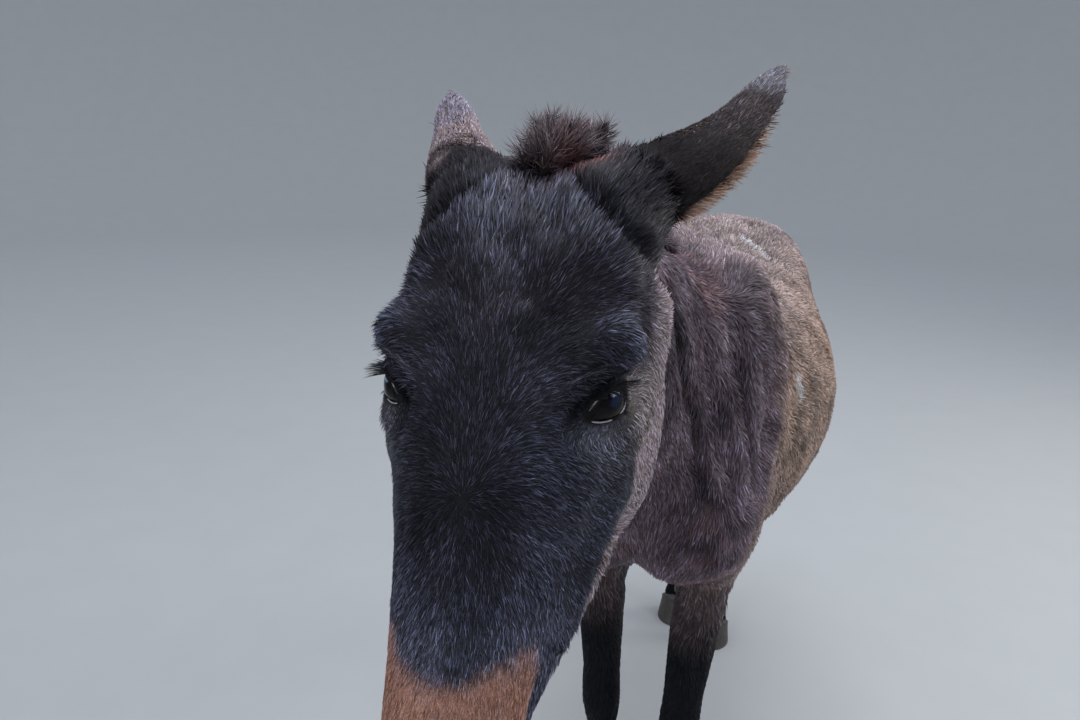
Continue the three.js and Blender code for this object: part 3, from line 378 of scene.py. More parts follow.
def body_colours(points, soft, fine, clumps, patches):
    """Dark neck and shoulders with painted shade and highlights on their folds, a dappled brown barrel
    under a back greyed partly by painted sheen, and black legs.
    """
    y, z = points[:, 1], points[:, 2]
    # The top of the body turns grey, partly its own colour and partly a painted sky sheen where it faces
    # up
    body = blend(BODY_BROWN, BACK_GREY_AND_PAINTED_SHEEN, smooth(z, 1.0, 1.2) * 0.55)
    body = blend(body, BELLY, 1 - smooth(z + 0.05 * soft, 0.66, 0.9))
    fore = 1 - smooth(y + 0.16 * (patches - 0.5) + 0.05 * soft - 0.25 * (z - 1.0), -0.2, 0.0)
    body = blend(body, NECK_BROWN, fore)
    folds = neck_folds(points) / DEEPEST_FOLD
    # Painted highlights on the folds' ridges, and painted shade in their grooves
    body = blend(body, NECK_RIDGE_PAINTED_HIGHLIGHT, 0.55 * np.clip(folds + 1.2 * soft, 0, 1) * fore)
    body *= (1 - 0.55 * np.clip(-folds, 0, 1) * fore)[:, None]
    # Painted light: the fore part is a third lighter low down, where the shoulder faces the ground and
    # lies in shade, and a little darker high up
    body *= (1 + mix(0.35, -0.16, smooth(z, 0.98, 1.12)) * fore)[:, None]
    body = blend(body, RUST, 0.16 * smooth(patches + 0.5 * soft, 0.58, 0.75) * fore)
    body *= (0.5 + clumps * mix(0.7, 1.3, patches))[:, None]
    top = 0.56 + 0.12 * (y > 0.4)
    body = blend(body, LEG_BLACK, (1 - smooth(z + 0.06 * soft, top, top + 0.22)) * leg_share(points))
    return blend(body, SCAR, smooth(scars(points) + 0.5 * fine, 0.35, 0.6))


def face_colours(points, soft, fine, clumps):
    """A black face with a painted slate sheen and brow highlights, pale cheeks and jaws, and a tan muzzle.
    """
    x, s, h = to_head(points).T
    mirrored = np.stack([np.abs(x), s, h], 1)
    face = blend(FOREHEAD, BLACK, smooth(s, 110, 190))
    # Painted sheen: bluish slate on the top of the forehead, the lower face and the sides of the face,
    # with a painted highlight on the ridge of each brow
    painted_slate_sheen = 0.3 * bell(s - 50, 50) * smooth(h, 20, 45)
    painted_slate_sheen += (0.25 + 0.5 * smooth(h, -50, 0)) * smooth(s, 270, 340)
    painted_slate_sheen += 0.35 * smooth(s, 180, 250) * smooth(np.abs(x), 20, 50)
    painted_slate_sheen += spot(mirrored, [84, 146, 44], [17, 15, 18])
    face = blend(face, SLATE_PAINTED_SHEEN, np.clip(painted_slate_sheen + 0.5 * soft, 0, 1))
    below = np.interp(s, *JAW_EDGE) - h
    pale = smooth(below + 24 * soft, -12, 16) * smooth(s, 20, 60) * (1 - 0.75 * smooth(s, 240, 330))
    face = blend(face, PALE, pale * (0.98 - 0.53 * smooth(below, 25, 100)))
    behind_eye = spot(mirrored, [91, 164, 6], [16, 26, 18])
    under_eye = spot(mirrored, [78, 206, 30], [17, 15, 20])
    face = blend(face, GREY_TAN, np.clip(0.85 * behind_eye * (1 + fine), 0, 1))
    face = blend(face, UNDER_EYE, np.clip(0.7 * under_eye * (1 + fine), 0, 1))
    edge = 360 - 0.012 * x**2 + 0.55 * np.clip(-h, 0, 90) + 22 * soft + 10 * fine
    face = blend(face, TAN, smooth(s + 16 * fine, edge - 13, edge + 13) * (0.88 + 0.3 * fine))
    face = blend(face, NOSE_DARK, smooth(s, 440, 486) * 0.75)
    face *= (0.5 + clumps)[:, None]
    # Painted shade in the crease over each eye's upper lid
    for side in SIDES:
        q, _, u, g, _ = around_eye(points, side)
        face *= (1 - 0.75 * bell(q - 1.3, 0.25) * smooth(u, 1, 5) * (g > 0))[:, None]
    return face


def markings_and_painted_light(points):
    """The coat's colour at each point, with its painted sheen, highlights and shade."""
    soft = noise(points, 0.035, 2) - 0.5
    fine = noise(points, 0.012, 3) - 0.5
    clumps = noise(points * [1, 0.6, 1], 0.028, 4)
    body = body_colours(points, soft, fine, clumps, noise(points, 0.11, 5))
    colours = blend(body, face_colours(points, soft, fine, clumps), head_share(points))
    for side in SIDES:
        colours = blend(colours, EAR_BLACK, ear_base(points, side))
    return blend(colours, RUST, 0.55 * spot(points, from_head(22, -4, 44), [0.022, 0.022, 0.018]))


# Meshes from arrays

def new_mesh(name, points, faces):
    """A smooth-shaded mesh of triangles."""
    mesh = bpy.data.meshes.new(name)
    mesh.vertices.add(len(points))
    mesh.vertices.foreach_set("co", np.asarray(points, np.float32).ravel())
    mesh.loops.add(faces.size)
    mesh.loops.foreach_set("vertex_index", faces.astype(np.int32).ravel())
    mesh.polygons.add(len(faces))
    mesh.polygons.foreach_set("loop_start", np.arange(0, faces.size, 3, dtype=np.int32))
    mesh.polygons.foreach_set("use_smooth", np.ones(len(faces), bool))
    mesh.update(calc_edges=True)
    return mesh


def ring_faces(rings, sides, caps=0, loop=False):
    """Triangles between rings of points in a row. One or two caps close the first and the last ring
    to the points that follow the rings, and a loop joins the last ring to the first."""
    row, n = (grid.ravel() for grid in np.meshgrid(np.arange(rings - (not loop)), np.arange(sides)))
    m = (n + 1) % sides
    a, b = row * sides, (row + 1) % rings * sides
    parts = [(a + n, a + m, b + m), (a + n, b + m, b + n)]
    n = np.arange(sides)
    m = (n + 1) % sides
    after, last = rings * sides, (rings - 1) * sides
    ends = [(n * 0 + after, m, n), (n * 0 + after + 1, last + n, last + m)]
    return np.concatenate([np.stack(part, 1) for part in parts + ends[:caps]])


def paint(mesh, colours):
    """Stores a colour for each point, which the materials read."""
    layer = mesh.color_attributes.new(name="coat", type="FLOAT_COLOR", domain="POINT")
    rgba = np.concatenate([np.clip(colours, 0, 1), np.ones((len(colours), 1))], 1)
    layer.data.foreach_set("color", rgba.astype(np.float32).ravel())


def piece(name, mesh, material, replaces=()):
    """A visible piece of the mule, in place of the solids that it replaces."""
    obj = bpy.data.objects.new(name, mesh)
    bpy.context.scene.collection.objects.link(obj)
    mesh.materials.append(material)
    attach(obj, "root")
    if replaces:
        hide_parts(*replaces)


def rows_of(items, key, width, kind=np.float32):
    """A value of all vertices, edges or triangles, a row for each."""
    values = np.empty(len(items) * width, kind)
    items.foreach_get(key, values)
    return values.reshape(-1, width)


def points_of(mesh):
    return rows_of(mesh.vertices, "co", 3).astype(float)


def normals_of(mesh):
    return rows_of(mesh.vertex_normals, "vector", 3).astype(float)


def triangles_of(mesh):
    mesh.calc_loop_triangles()
    return rows_of(mesh.loop_triangles, "vertices", 3, np.int32)


def set_points(mesh, points):
    mesh.vertices.foreach_set("co", points.astype(np.float32).ravel())
    mesh.update()


STEP_IN, STEP_OUT = 0.5, -0.52


def relax(mesh, steps, weight):
    """Evens the surface out without shrinking it: a step in, then a slightly longer step out."""
    points, edges = points_of(mesh), rows_of(mesh.edges, "vertices", 2, np.int32)
    a, b = edges.T
    count = len(points)
    degree = np.maximum(np.bincount(edges.ravel(), minlength=count), 1)
    for step in range(2 * steps):
        total = [
            np.bincount(a, points[b, n], count) + np.bincount(b, points[a, n], count) for n in range(3)
        ]
        mean = np.stack(total, 1) / degree[:, None]
        points += (mean - points) * (weight * (STEP_IN if step % 2 == 0 else STEP_OUT))[:, None]
    set_points(mesh, points)


def biggest_part(made):
    """The vertices of the biggest connected part."""
    unseen, biggest = set(made.verts), []
    while unseen:
        island = [unseen.pop()]
        for vertex in island:
            for edge in vertex.link_edges:
                other = edge.other_vert(vertex)
                if other in unseen:
                    unseen.remove(other)
                    island.append(other)
        biggest = max(biggest, island, key=len)
    return set(biggest)


def grown_skin(name, nodes, voxel):
    """One closed surface over the given nodes, cleared of everything but its biggest part."""
    points, faces, start = [], [], 0
    for node in nodes:
        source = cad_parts[node].data
        points.append(points_of(source))
        faces.append(triangles_of(source) + start)
        start += len(points[-1])
    obj = bpy.data.objects.new(name, new_mesh(name, np.concatenate(points), np.concatenate(faces)))
    bpy.context.scene.collection.objects.link(obj)
    remesh = obj.modifiers.new("grow", "REMESH")
    remesh.mode = "VOXEL"
    remesh.voxel_size = voxel
    evaluated = obj.evaluated_get(bpy.context.evaluated_depsgraph_get())
    mesh = bpy.data.meshes.new_from_object(evaluated)
    bpy.data.objects.remove(obj)
    made = bmesh.new()
    made.from_mesh(mesh)
    kept = biggest_part(made)
    bmesh.ops.delete(made, geom=[v for v in made.verts if v not in kept], context="VERTS")
    made.to_mesh(mesh)
    made.free()
    mesh.update()
    return mesh


# Materials

def node_material(name, roughness, **settings):
    """Settings name the shader's sockets in small letters, such as specular_ior_level."""
    material = bpy.data.materials.new(name)
    material.use_nodes = True
    shader = material.node_tree.nodes["Principled BSDF"]
    shader.inputs["Roughness"].default_value = roughness
    for socket, value in settings.items():
        shader.inputs[socket.replace("_", " ").title().replace("Ior", "IOR")].default_value = value
    return material, material.node_tree, shader


def tree_node(tree, kind, **settings):
    node = tree.nodes.new(kind)
    for key, value in settings.items():
        setattr(node, key, value)
    return node


def noise_factor(tree, place, scale, low, high, detail, stretch, span, kind):
    """A factor from low to high that changes with the place, by the noise's span."""
    mapping = tree_node(tree, "ShaderNodeMapping")
    mapping.inputs["Scale"].default_value = stretch
    texture = tree_node(tree, "ShaderNodeTexNoise", noise_dimensions=kind)
    texture.inputs["Scale"].default_value = scale
    texture.inputs["Detail"].default_value = detail
    factor = tree_node(tree, "ShaderNodeMapRange")
    for socket, value in zip(("From Min", "From Max", "To Min", "To Max"), (*span, low, high)):
        factor.inputs[socket].default_value = value
    tree.links.new(place, mapping.inputs["Vector"])
    tree.links.new(mapping.outputs["Vector"], texture.inputs["Vector"])
    tree.links.new(texture.outputs["Fac"], factor.inputs["Value"])
    return factor.outputs["Result"]


def speckle(tree, scale, low, high, detail=3.0, stretch=(1, 1, 1)):
    """A grain that is fixed to the object."""
    place = tree_node(tree, "ShaderNodeTexCoord").outputs["Object"]
    return noise_factor(tree, place, scale, low, high, detail, stretch, (0.3, 0.7), "3D")


def stored_colour(tree, shader, factor):
    """Reads the colour stored in the mesh and scales it by a factor."""
    stored = tree_node(tree, "ShaderNodeAttribute", attribute_name="coat")
    scaled = tree_node(tree, "ShaderNodeVectorMath", operation="SCALE")
    tree.links.new(stored.outputs["Color"], scaled.inputs[0])
    tree.links.new(factor, scaled.inputs["Scale"])
    tree.links.new(scaled.outputs[0], shader.inputs["Base Color"])


def add_bump(tree, shader, factor, distance):
    bump = tree_node(tree, "ShaderNodeBump")
    bump.inputs["Distance"].default_value = distance
    tree.links.new(factor, bump.inputs["Height"])
    tree.links.new(bump.outputs["Normal"], shader.inputs["Normal"])


def painted_material(name, roughness, grain, bump, **settings):
    """The stored colour, broken up by a fine grain, which is raised a little where there is a bump."""
    material, tree, shader = node_material(name, roughness, **settings)
    factor = speckle(tree, *grain)
    stored_colour(tree, shader, factor)
    if bump:
        add_bump(tree, shader, factor, bump)
    return material


def fur_material(name, roughness, **settings):
    """The stored colour, split into single hairs that run along each tuft."""
    material, tree, shader = node_material(name, roughness, **settings)
    place = tree_node(tree, "ShaderNodeUVMap", uv_map="strand").outputs["UV"]
    stored_colour(tree, shader, noise_factor(tree, place, 1.0, 0.5, 1.5, 2.0, HAIRS, (0.34, 0.66), "2D"))
    return material


# Hairs across and along each tuft
HAIRS = (5.0, 1.3, 1)
SKY_TINT = (0.75, 0.83, 1.0, 1.0)
WARM_TINT = (1.0, 0.9, 0.85, 1.0)
FINE_GRAIN = (900, 0.8, 1.2)
HOOF_GRAIN = (160, 0.75, 1.25, 4.0, (1, 1, 3))

FUR = fur_material("fur", 0.42, specular_ior_level=0.13, specular_tint=SKY_TINT)
DARK_FUR = fur_material("dark_fur", 0.6, specular_ior_level=0.04, specular_tint=WARM_TINT)
UNDERCOAT = painted_material("undercoat", 0.8, (900, 0.5, 1.4), 0.0004, specular_ior_level=0.15)
LONG_HAIR = painted_material(
    "long_hair", 0.42, (300, 0.75, 1.25), 0, specular_ior_level=0.25, specular_tint=SKY_TINT,
)
WET_SKIN = painted_material("wet_skin", 0.12, FINE_GRAIN, 0.0001, specular_ior_level=0.7, coat_weight=1.0)
EYEBALL = painted_material("eyeball", 0.04, (500, 0.8, 1.2), 0, specular_ior_level=0.16)
HORN = painted_material("hoof_horn", 0.5, HOOF_GRAIN, 0.0004, specular_ior_level=0.4)


# The skin

SKIN_VOXEL = 0.0065


def sculpt_eyes(points):
    """Lids round the openings, with their creases and the trough of the inner corner."""
    for side in SIDES:
        near = np.linalg.norm(points - middle_of(f"eye_{side}"), axis=1) < 0.075
        p = points[near]
        q, a, u, g, off = around_eye(p, side)
        length = np.maximum(np.linalg.norm(off, axis=1), 1)
        front = smooth(g, -5, 3)
        lid = EYE_RADIUS + 1.7 + 1.3 * smooth(u, -2, 2) - 5.4 * (1 - smooth(q, 0.94, 1.04))
        crease = 2.6 * bell(q - 1.85, 0.16) * smooth(u, 1, 7) + 1.5 * bell(q - 2.0, 0.2) * smooth(-u, 1, 7)
        second = 1.5 * bell(q - 2.6, 0.16) * smooth(u, 4, 12)
        roll = 1.6 * bell(q - 1.45, 0.25) + 2.2 * bell(q - 2.25, 0.22) * smooth(u, 1, 8)
        away = smooth(q, 1.25, 2.5)
        trough = 3.5 * bell(q - 1.35, 0.4) * smooth(a, 4, 14)
        target = mix(lid, length, away) + roll - crease - second - trough
        points[near] = p + off / length[:, None] * ((target - length) * front * MM)[:, None]


MOUTH = {"corner": 424, "front": 508, "corner_height": -42, "front_height": -52}


def mouth_line(s):
    """Height of the gap between the lips."""
    share = np.clip((s - MOUTH["corner"]) / (MOUTH["front"] - MOUTH["corner"]), 0, 1)
    return mix(MOUTH["corner_height"], MOUTH["front_height"], share) - 4 * np.sin(np.pi * share)


def sculpt_muzzle(points, normals):
    """Nostrils, lips and chin, as moves in the head's frame."""
    inside = (to_head(points)[:, 1] > 300) & (head_share(points) > 0.5)
    x, s, h = to_head(points[inside]).T
    away = np.abs(x)
    drop = h - mouth_line(s)
    on_lips = smooth(s, MOUTH["corner"] - 4, MOUTH["corner"] + 8)
    push = -5.0 * bell(drop, 2.2) * on_lips
    push += 2.2 * bell(drop - 8, 6) * on_lips + 1.8 * bell(drop + 8, 6) * on_lips
    push -= 2.0 * bell(s - MOUTH["corner"] + 5, 4) * bell(drop, 9)
    push += 1.5 * bell(s - MOUTH["corner"] + 13, 5) * bell(drop, 12)
    hole = np.sqrt(((s - 466 - 0.25 * (h + 6)) / 15) ** 2 + ((h + 7) / 8) ** 2)
    comma = np.sqrt(((s - 451) / 13) ** 2 + ((h - 6) / 5.5) ** 2)
    hole = np.minimum(hole, comma)
    wide = smooth(away, 16, 26)
    push -= 13 * (1 - smooth(hole, 0.45, 1.0)) * wide
    push += 3.2 * bell(hole - 1.3, 0.28) * wide
    push -= 1.2 * bell(hole - 2.1, 0.25) * wide
    push += 2.5 * bell(away, 12) * bell(s - 470, 18) * bell(h + 92, 12)
    ridges = np.sin((s - 430) / 2.6 + 3 * noise(points[inside], 0.012, 8))
    push += 0.35 * ridges * smooth(s, 425, 450) * smooth(-h, 20, 45)
    points[inside] += normals[inside] * (push * MM)[:, None]


# Ridges and grooves of the body: a path of places in metres, then width and height
BODY_STROKES = [
    ([(0.15, -0.24, 0.92), (0.17, -0.14, 1.05), (0.12, -0.05, 1.19)], 0.022, -0.006),
    ([(0.16, -0.19, 0.90), (0.18, -0.10, 1.03), (0.13, -0.02, 1.17)], 0.024, 0.005),
    ([(0.17, 0.00, 0.78), (0.20, 0.05, 0.88)], 0.024, -0.010),
    ([(0.10, -0.30, 0.90), (0.16, -0.18, 0.84)], 0.022, -0.005),
    ([(0.05, -0.60, 1.13), (0.075, -0.45, 1.03), (0.09, -0.32, 0.92)], 0.018, -0.007),
    ([(0.19, 0.52, 0.86), (0.18, 0.60, 0.78), (0.15, 0.66, 0.70)], 0.026, -0.012),
    ([(0.17, 0.56, 0.80), (0.15, 0.60, 0.72)], 0.020, 0.006),
    ([(0.10, 0.93, 0.95), (0.10, 0.90, 0.80), (0.10, 0.84, 0.68)], 0.020, -0.007),
    ([(0.20, 0.47, 1.02), (0.18, 0.56, 0.98)], 0.040, -0.012),
]

# The ribs: how many there are, and the path of one: across, back from its place, and up
RIBS = 9
RIB_PATH = [(0.19, -0.03, 1.08), (0.27, 0, 0.92), (0.24, 0.02, 0.76)]

# Ridges and hollows of the head: place, reach and height in millimetres, the same on both sides
HEAD_FORMS = [
    ((85, 145, 42), (15, 12, 17), 6.5),
    ((66, 146, 56), (12, 9, 12), 2.5),
    ((60, 120, 54), (18, 14, 16), -4.5),
    ((30, 104, 62), (13, 22, 14), 3.0),
    ((52, 84, 52), (12, 20, 14), 2.5),
    ((0, 120, 70), (7, 40, 14), -1.5),
    ((36, 168, 58), (14, 26, 20), -2.0),
    ((82, 214, 22), (14, 9, 16), -2.5),
    ((70, 262, 16), (9, 40, 10), 2.5),
    ((40, 300, 40), (8, 50, 14), -2.0),
    ((92, 150, -18), (12, 40, 9), 3.0),
    ((84, 232, -62), (26, 48, 40), 8.0),
]


def sculpt_head(points, normals):
    """The head's ridges and hollows, the crease at each ear's foot and the lumps of the forehead."""
    local = to_head(points)
    x = local[:, 0].copy()
    local[:, 0] = np.abs(x)
    push = np.zeros(len(points))
    for at, reach, height in HEAD_FORMS:
        push += height * spot(local, at, reach)
    for side in SIDES:
        own = smooth(x * SIDES[side], 14, 30) * smooth(local[:, 2], -30, 10)
        push -= 4.0 * bell(above_crease(points, side), 7) * own
    high = smooth(local[:, 2], 15, 40) * (1 - smooth(local[:, 1], 130, 190))
    push += 6.0 * (noise(points * [1, 0.7, 1], 0.018, 21) - 0.5) * high
    points += normals * (push * head_share(points) * MM)[:, None]


def tendons(points):
    """Depth of the groove in front of each leg's tendon, in metres."""
    z = points[:, 2]
    shank = (1 - smooth(z, 0.36, 0.42)) * smooth(z, 0.17, 0.21)
    depth = np.zeros(len(points))
    for side in SIDES:
        for end in ENDS:
            at = middle_of(f"{end}_hoof_{side}")
            behind = points[:, 1] - at[1] - 0.024
            depth += 0.0022 * shank * bell(behind, 0.005) * (np.abs(points[:, 0] - at[0]) < 0.06)
    return depth


def sculpt_body(points, normals):
    """Ridges, grooves and ribs, the tendons of the legs, and the soft folds of the neck."""
    push = -tendons(points)
    for path, width, height in BODY_STROKES:
        push += stroke(points, path, width, height)
    for n in range(RIBS):
        y = mix(0.10, 0.48, n / (RIBS - 1))
        push += stroke(points, [(across, y + back, up) for across, back, up in RIB_PATH], 0.012, 0.0016)
    soft = smooth(np.abs(points[:, 0]), 0.02, 0.06) * (1 - leg_share(points)) * (1 - head_share(points))
    folds = noise(points * [1, 1, 0.3], 0.035, 6) - 0.5
    lumps = noise(points, 0.022, 7) - 0.5
    neck = 1 - smooth(points[:, 1], -0.1, 0.15)
    push += soft * (0.006 * folds * neck + 0.0035 * lumps) + neck_folds(points) * soft
    points += normals * push[:, None]


def refine(mesh, region):
    """Splits the faces of a region in two each way."""
    made = bmesh.new()
    made.from_mesh(mesh)
    wanted = region(points_of(mesh))
    made.verts.ensure_lookup_table()
    inner = [e for e in made.edges if wanted[e.verts[0].index] and wanted[e.verts[1].index]]
    bmesh.ops.subdivide_edges(made, edges=inner, cuts=1, use_grid_fill=True)
    made.to_mesh(mesh)
    made.free()
    mesh.update()


def on_features(points):
    """Round the eyes, nostrils and mouth."""
    near = (to_head(points)[:, 1] > 415) & (head_share(points) > 0.5)
    for side in SIDES:
        near |= np.linalg.norm(points - middle_of(f"eye_{side}"), axis=1) < 0.05
    return near


def build_skin():
    """The skin over all the flesh, finer on the head and finest round its features."""
    mesh = grown_skin("skin", FLESH + ["eye_left", "eye_right"], SKIN_VOXEL)
    points = points_of(mesh)
    relax(mesh, 30, 1 - 0.92 * np.maximum(head_share(points), leg_share(points)))
    relax(mesh, 5, np.ones(len(points)))
    refine(mesh, lambda at: (head_share(at) > 0.3) & (to_head(at)[:, 1] > -30))
    relax(mesh, 4, head_share(points_of(mesh)))
    refine(mesh, on_features)
    relax(mesh, 3, head_share(points_of(mesh)))
    points, normals = points_of(mesh), normals_of(mesh)
    points -= normals * coat_depth(points)[:, None]
    sculpt_head(points, normals)
    sculpt_eyes(points)
    sculpt_muzzle(points, normals)
    sculpt_body(points, normals)
    set_points(mesh, points)
    mesh.polygons.foreach_set("use_smooth", np.ones(len(mesh.polygons), bool))
    return mesh


def paint_skin(mesh):
    """The coat's colours, darkened by painted shade under the fur, with bare black rims round the eyes."""
    points = points_of(mesh)
    colours = markings_and_painted_light(points) * UNDER_FUR_PAINTED_SHADE
    for side in SIDES:
        q, _, _, g, _ = around_eye(points, side)
        rim = (1 - smooth(q, 1.04, 1.16)) * smooth(g, -6, 0) * (g < 45)
        colours = blend(colours, LID_BLACK, rim)
    paint(mesh, colours)


skin_mesh = build_skin()
paint_skin(skin_mesh)
piece("skin", skin_mesh, UNDERCOAT, FLESH)


# The coat: closed tufts of four triangles, each a low ridge that tapers to its tip

def tufts_needed(cover, length, width, **_):
    """Tufts for each square metre, to cover it so many times over."""
    return cover / (0.5 * length * width)


def scatter(mesh, density, region=None):
    """Random roots on a mesh, so many for each square metre: their places and normals."""
    points, normals, triangles = points_of(mesh), normals_of(mesh), triangles_of(mesh)
    if region is not None:
        triangles = triangles[region(points)[triangles].all(axis=1)]
    a, b, c = (points[triangles[:, n]] for n in range(3))
    area = np.linalg.norm(np.cross(b - a, c - a), axis=1) / 2
    expected = area * (density((a + b + c) / 3) if callable(density) else density)
    count = int(expected.sum())
    chosen = random.choice(len(triangles), count, p=expected / expected.sum())
    first, second = random.random((2, count))
    over = first + second > 1
    first[over], second[over] = 1 - first[over], 1 - second[over]
    weights = np.stack([1 - first - second, first, second], 1)[:, :, None]
    corners = triangles[chosen]
    return (points[corners] * weights).sum(1), unit((normals[corners] * weights).sum(1))


def add_map(mesh, name, faces, uv):
    layer = mesh.uv_layers.new(name=name)
    layer.data.foreach_set("uv", uv[faces.ravel()].astype(np.float32).ravel())


# A tuft's corners are the two sides of its foot, the middle of its ridge and its tip
TUFT_FACES = np.array([[0, 2, 3], [1, 3, 2], [0, 1, 2], [0, 3, 1]])
TUFT_PATCH = np.array([[-1, -1], [1, -1], [0, 0], [0, 1]]) * 0.0015
TUFT_STRANDS = np.array([[0.0, 0.0], [1.0, 0.0], [0.5, 0.45], [0.5, 1.0]])
# Painted shade at each tuft's foot and painted light towards its tip, scaled by the contrast
PAINTED_TUFT_SHADE_AND_LIGHT = np.array([-1.5, -1.5, 0.2, 1.4])
ROUNDNESS = 0.75
# Light tufts turn cooler by a painted sky sheen, dark ones warmer
WARM, COOL_PAINTED_SHEEN = (1.1, 1.0, 0.9), (0.93, 1.0, 1.12)
# A share of tufts made brighter by a painted glint
GLINTS = 0.08
BRIGHTEST = 0.55
MOST_TUFTS = 49000


def tuft_shapes(roots, normals, way, size):
    """Each tuft's corners, and the normals that shade it as a round ridge."""
    length, width, lift = size
    count = len(roots)
    side = unit(np.cross(way, normals))
    way = unit(way + side * random.normal(0, 0.13, count)[:, None])
    side = np.cross(way, normals)
    length = length * random.uniform(0.7, 1.25, count)
    width = width * random.uniform(0.7, 1.3, count)
    lift = lift * random.uniform(0.6, 1.25, count)
    bend = random.normal(0, 0.08, count)
    base = roots - normals * 0.0006
    half = side * (width / 2)[:, None]
    middle = base + way * (0.45 * length)[:, None] + normals * (0.6 * lift + 0.25 * width)[:, None]
    tip = base + way * length[:, None] + normals * lift[:, None] + side * (bend * length)[:, None]
    round_side = ROUNDNESS * side
    corners = (normals - round_side, normals + round_side, normals, normals + 0.3 * way)
    shading = np.stack([unit(corner) for corner in corners], 1)
    return np.stack([base - half, base + half, middle, tip], 1), shading


def tuft_colours(colours, contrast):
    """Each tuft's own tone, with painted glints on a few and a painted sky sheen that cools the light
    ones, from painted shade at its foot to painted light at its tip.
    """
    count = len(colours)
    glint = np.where(random.random(count) < GLINTS, 1 + 2.5 * contrast, 1)
    tone = np.minimum(np.exp(random.normal(0, contrast, count)) * glint, 4.0)
    tint = blend(WARM, COOL_PAINTED_SHEEN, smooth(tone, 0.6, 1.8))
    painted_shade_and_light = np.maximum(1 + contrast * PAINTED_TUFT_SHADE_AND_LIGHT, 0.1)
    shaded = (colours * tint * tone[:, None])[:, None, :] * painted_shade_and_light[None, :, None]
    return shaded * np.minimum(1, BRIGHTEST / np.maximum(shaded.max(axis=2, keepdims=True), 1e-6))


def tufts(name, roots, normals, way, size, colours, unwrap, contrast, material):
    """Pieces of coat: size gives each tuft's length, width and the height of its tip, in metres."""
    points, shading = tuft_shapes(roots, normals, way, size)
    shaded = tuft_colours(colours, contrast)
    uv = np.clip(unwrap(roots), 0.004, 0.996)[:, None, :] + TUFT_PATCH
    strand = TUFT_STRANDS + random.integers(0, 1000, (len(roots), 1, 2))
    pieces = max(1, math.ceil(len(roots) / MOST_TUFTS))
    for n in range(pieces):
        part = slice(n, None, pieces)
        faces = (np.arange(len(points[part]))[:, None, None] * 4 + TUFT_FACES).reshape(-1, 3)
        mesh = new_mesh(f"{name}_{n + 1}", points[part].reshape(-1, 3), faces)
        paint(mesh, shaded[part].reshape(-1, 3))
        add_map(mesh, "OFBake", faces, uv[part].reshape(-1, 2))
        add_map(mesh, "strand", faces, strand[part].reshape(-1, 2))
        mesh.normals_split_custom_set_from_vertices(shading[part].reshape(-1, 3))
        piece(mesh.name, mesh, material)


def unwrap_head(points):
    x, s, h = to_head(points).T
    return np.stack([turn_share(x, h + 20), (s + 60) / 620], 1)


def unwrap_body(points):
    x, y, z = points.T
    middle = np.interp(y, [-0.75, -0.3, 0.0], [1.25, 1.0, 0.95])
    return np.stack([turn_share(x, z - middle), (y + 0.8) / 1.85], 1)


def unwrap_legs(points):
    """Each leg in its own quarter of the map, unrolled round the line up from its hoof."""
    x, y, z = points.T
    left = x > 0
    hind = y > (FORE_Y + HIND_Y) / 2
    hoof_x = [middle_of(f"fore_hoof_{side}")[0] for side in SIDES]
    lean = np.interp(z, [0.1, 0.5, 0.8], [0.0, 0.06, -0.04])
    share = turn_share(x - np.where(left, *hoof_x), y - np.where(hind, HIND_Y + lean, FORE_Y))
    column = np.where(left, 0.5, 0.0) + np.where(hind, 0.25, 0.0)
    return np.stack([column + 0.01 + 0.23 * share, np.clip(z / 0.9, 0, 1)], 1)


def face_size(points):
    """Length and width of the tufts on the head, in metres."""
    x, s, h = to_head(points).T
    length = np.interp(s, [-20, 60, 120, 200, 300, 380, 500], [17, 15, 10, 8.5, 8.5, 6.5, 5])
    length += 9 * smooth(-h, 55, 110) * (1 - smooth(s, 330, 420))
    width = np.interp(s, [-20, 60, 130, 300, 380, 500], [0.95, 0.9, 0.75, 0.72, 0.7, 0.75])
    width += 1.1 * smooth(-h, 10, 70)
    fullness = np.ones(len(points))
    for side in SIDES:
        length = mix(length, 11, ear_base(points, side))
        q, _, _, g, _ = around_eye(points, side)
        fullness = np.minimum(fullness, np.where(g > -5, smooth(q, 1.0, 2.2), 1))
    fullness *= 1 - 0.5 * bell(np.hypot(x, s - WHORL), 14) * (h > 0)
    return length * mix(0.3, 1, fullness) * MM, width * mix(0.55, 1, fullness) * MM


def body_size(points):
    """Length and width of the tufts on the body and the legs, in metres."""
    y, z = points[:, 1], points[:, 2]
    length = 17 + 10 * (1 - smooth(z, 0.72, 0.82)) * smooth(y, -0.25, 0)
    width = mix(2.1, 2.7, smooth(y, -0.35, 0)) + 1.2 * (1 - smooth(z, 0.72, 0.8))
    legs = leg_share(points)
    leg_length = np.interp(z, [0.05, 0.1, 0.3, 0.6], [9, 10, 11, 17])
    leg_width = np.interp(z, [0.1, 0.6], [2.0, 2.7])
    return mix(length, leg_length, legs) * MM, mix(width, leg_width, legs) * MM


def on_face(points):
    bare = np.zeros(len(points), bool)
    for side in SIDES:
        q, _, _, g, _ = around_eye(points, side)
        bare |= (q < 1.05) & (g > -8)
    return (head_share(points) > 0.5) & ~bare


def on_body(points):
    return (head_share(points) <= 0.5) & (leg_share(points) <= 0.5)


def on_legs(points):
    return (head_share(points) <= 0.5) & (leg_share(points) > 0.5)


def grow_coat(name, region, size, cover, unwrap, contrast):
    """Tufts over a region of the skin, that cover it so many times over."""
    roots, normals = scatter(skin_mesh, lambda at: tufts_needed(cover, *size(at)), region)
    length, width = size(roots)
    shape = (length, width, coat_depth(roots) * 1.05)
    tufts(name, roots, normals, flow(roots, normals), shape, markings_and_painted_light(roots), unwrap, contrast, FUR)


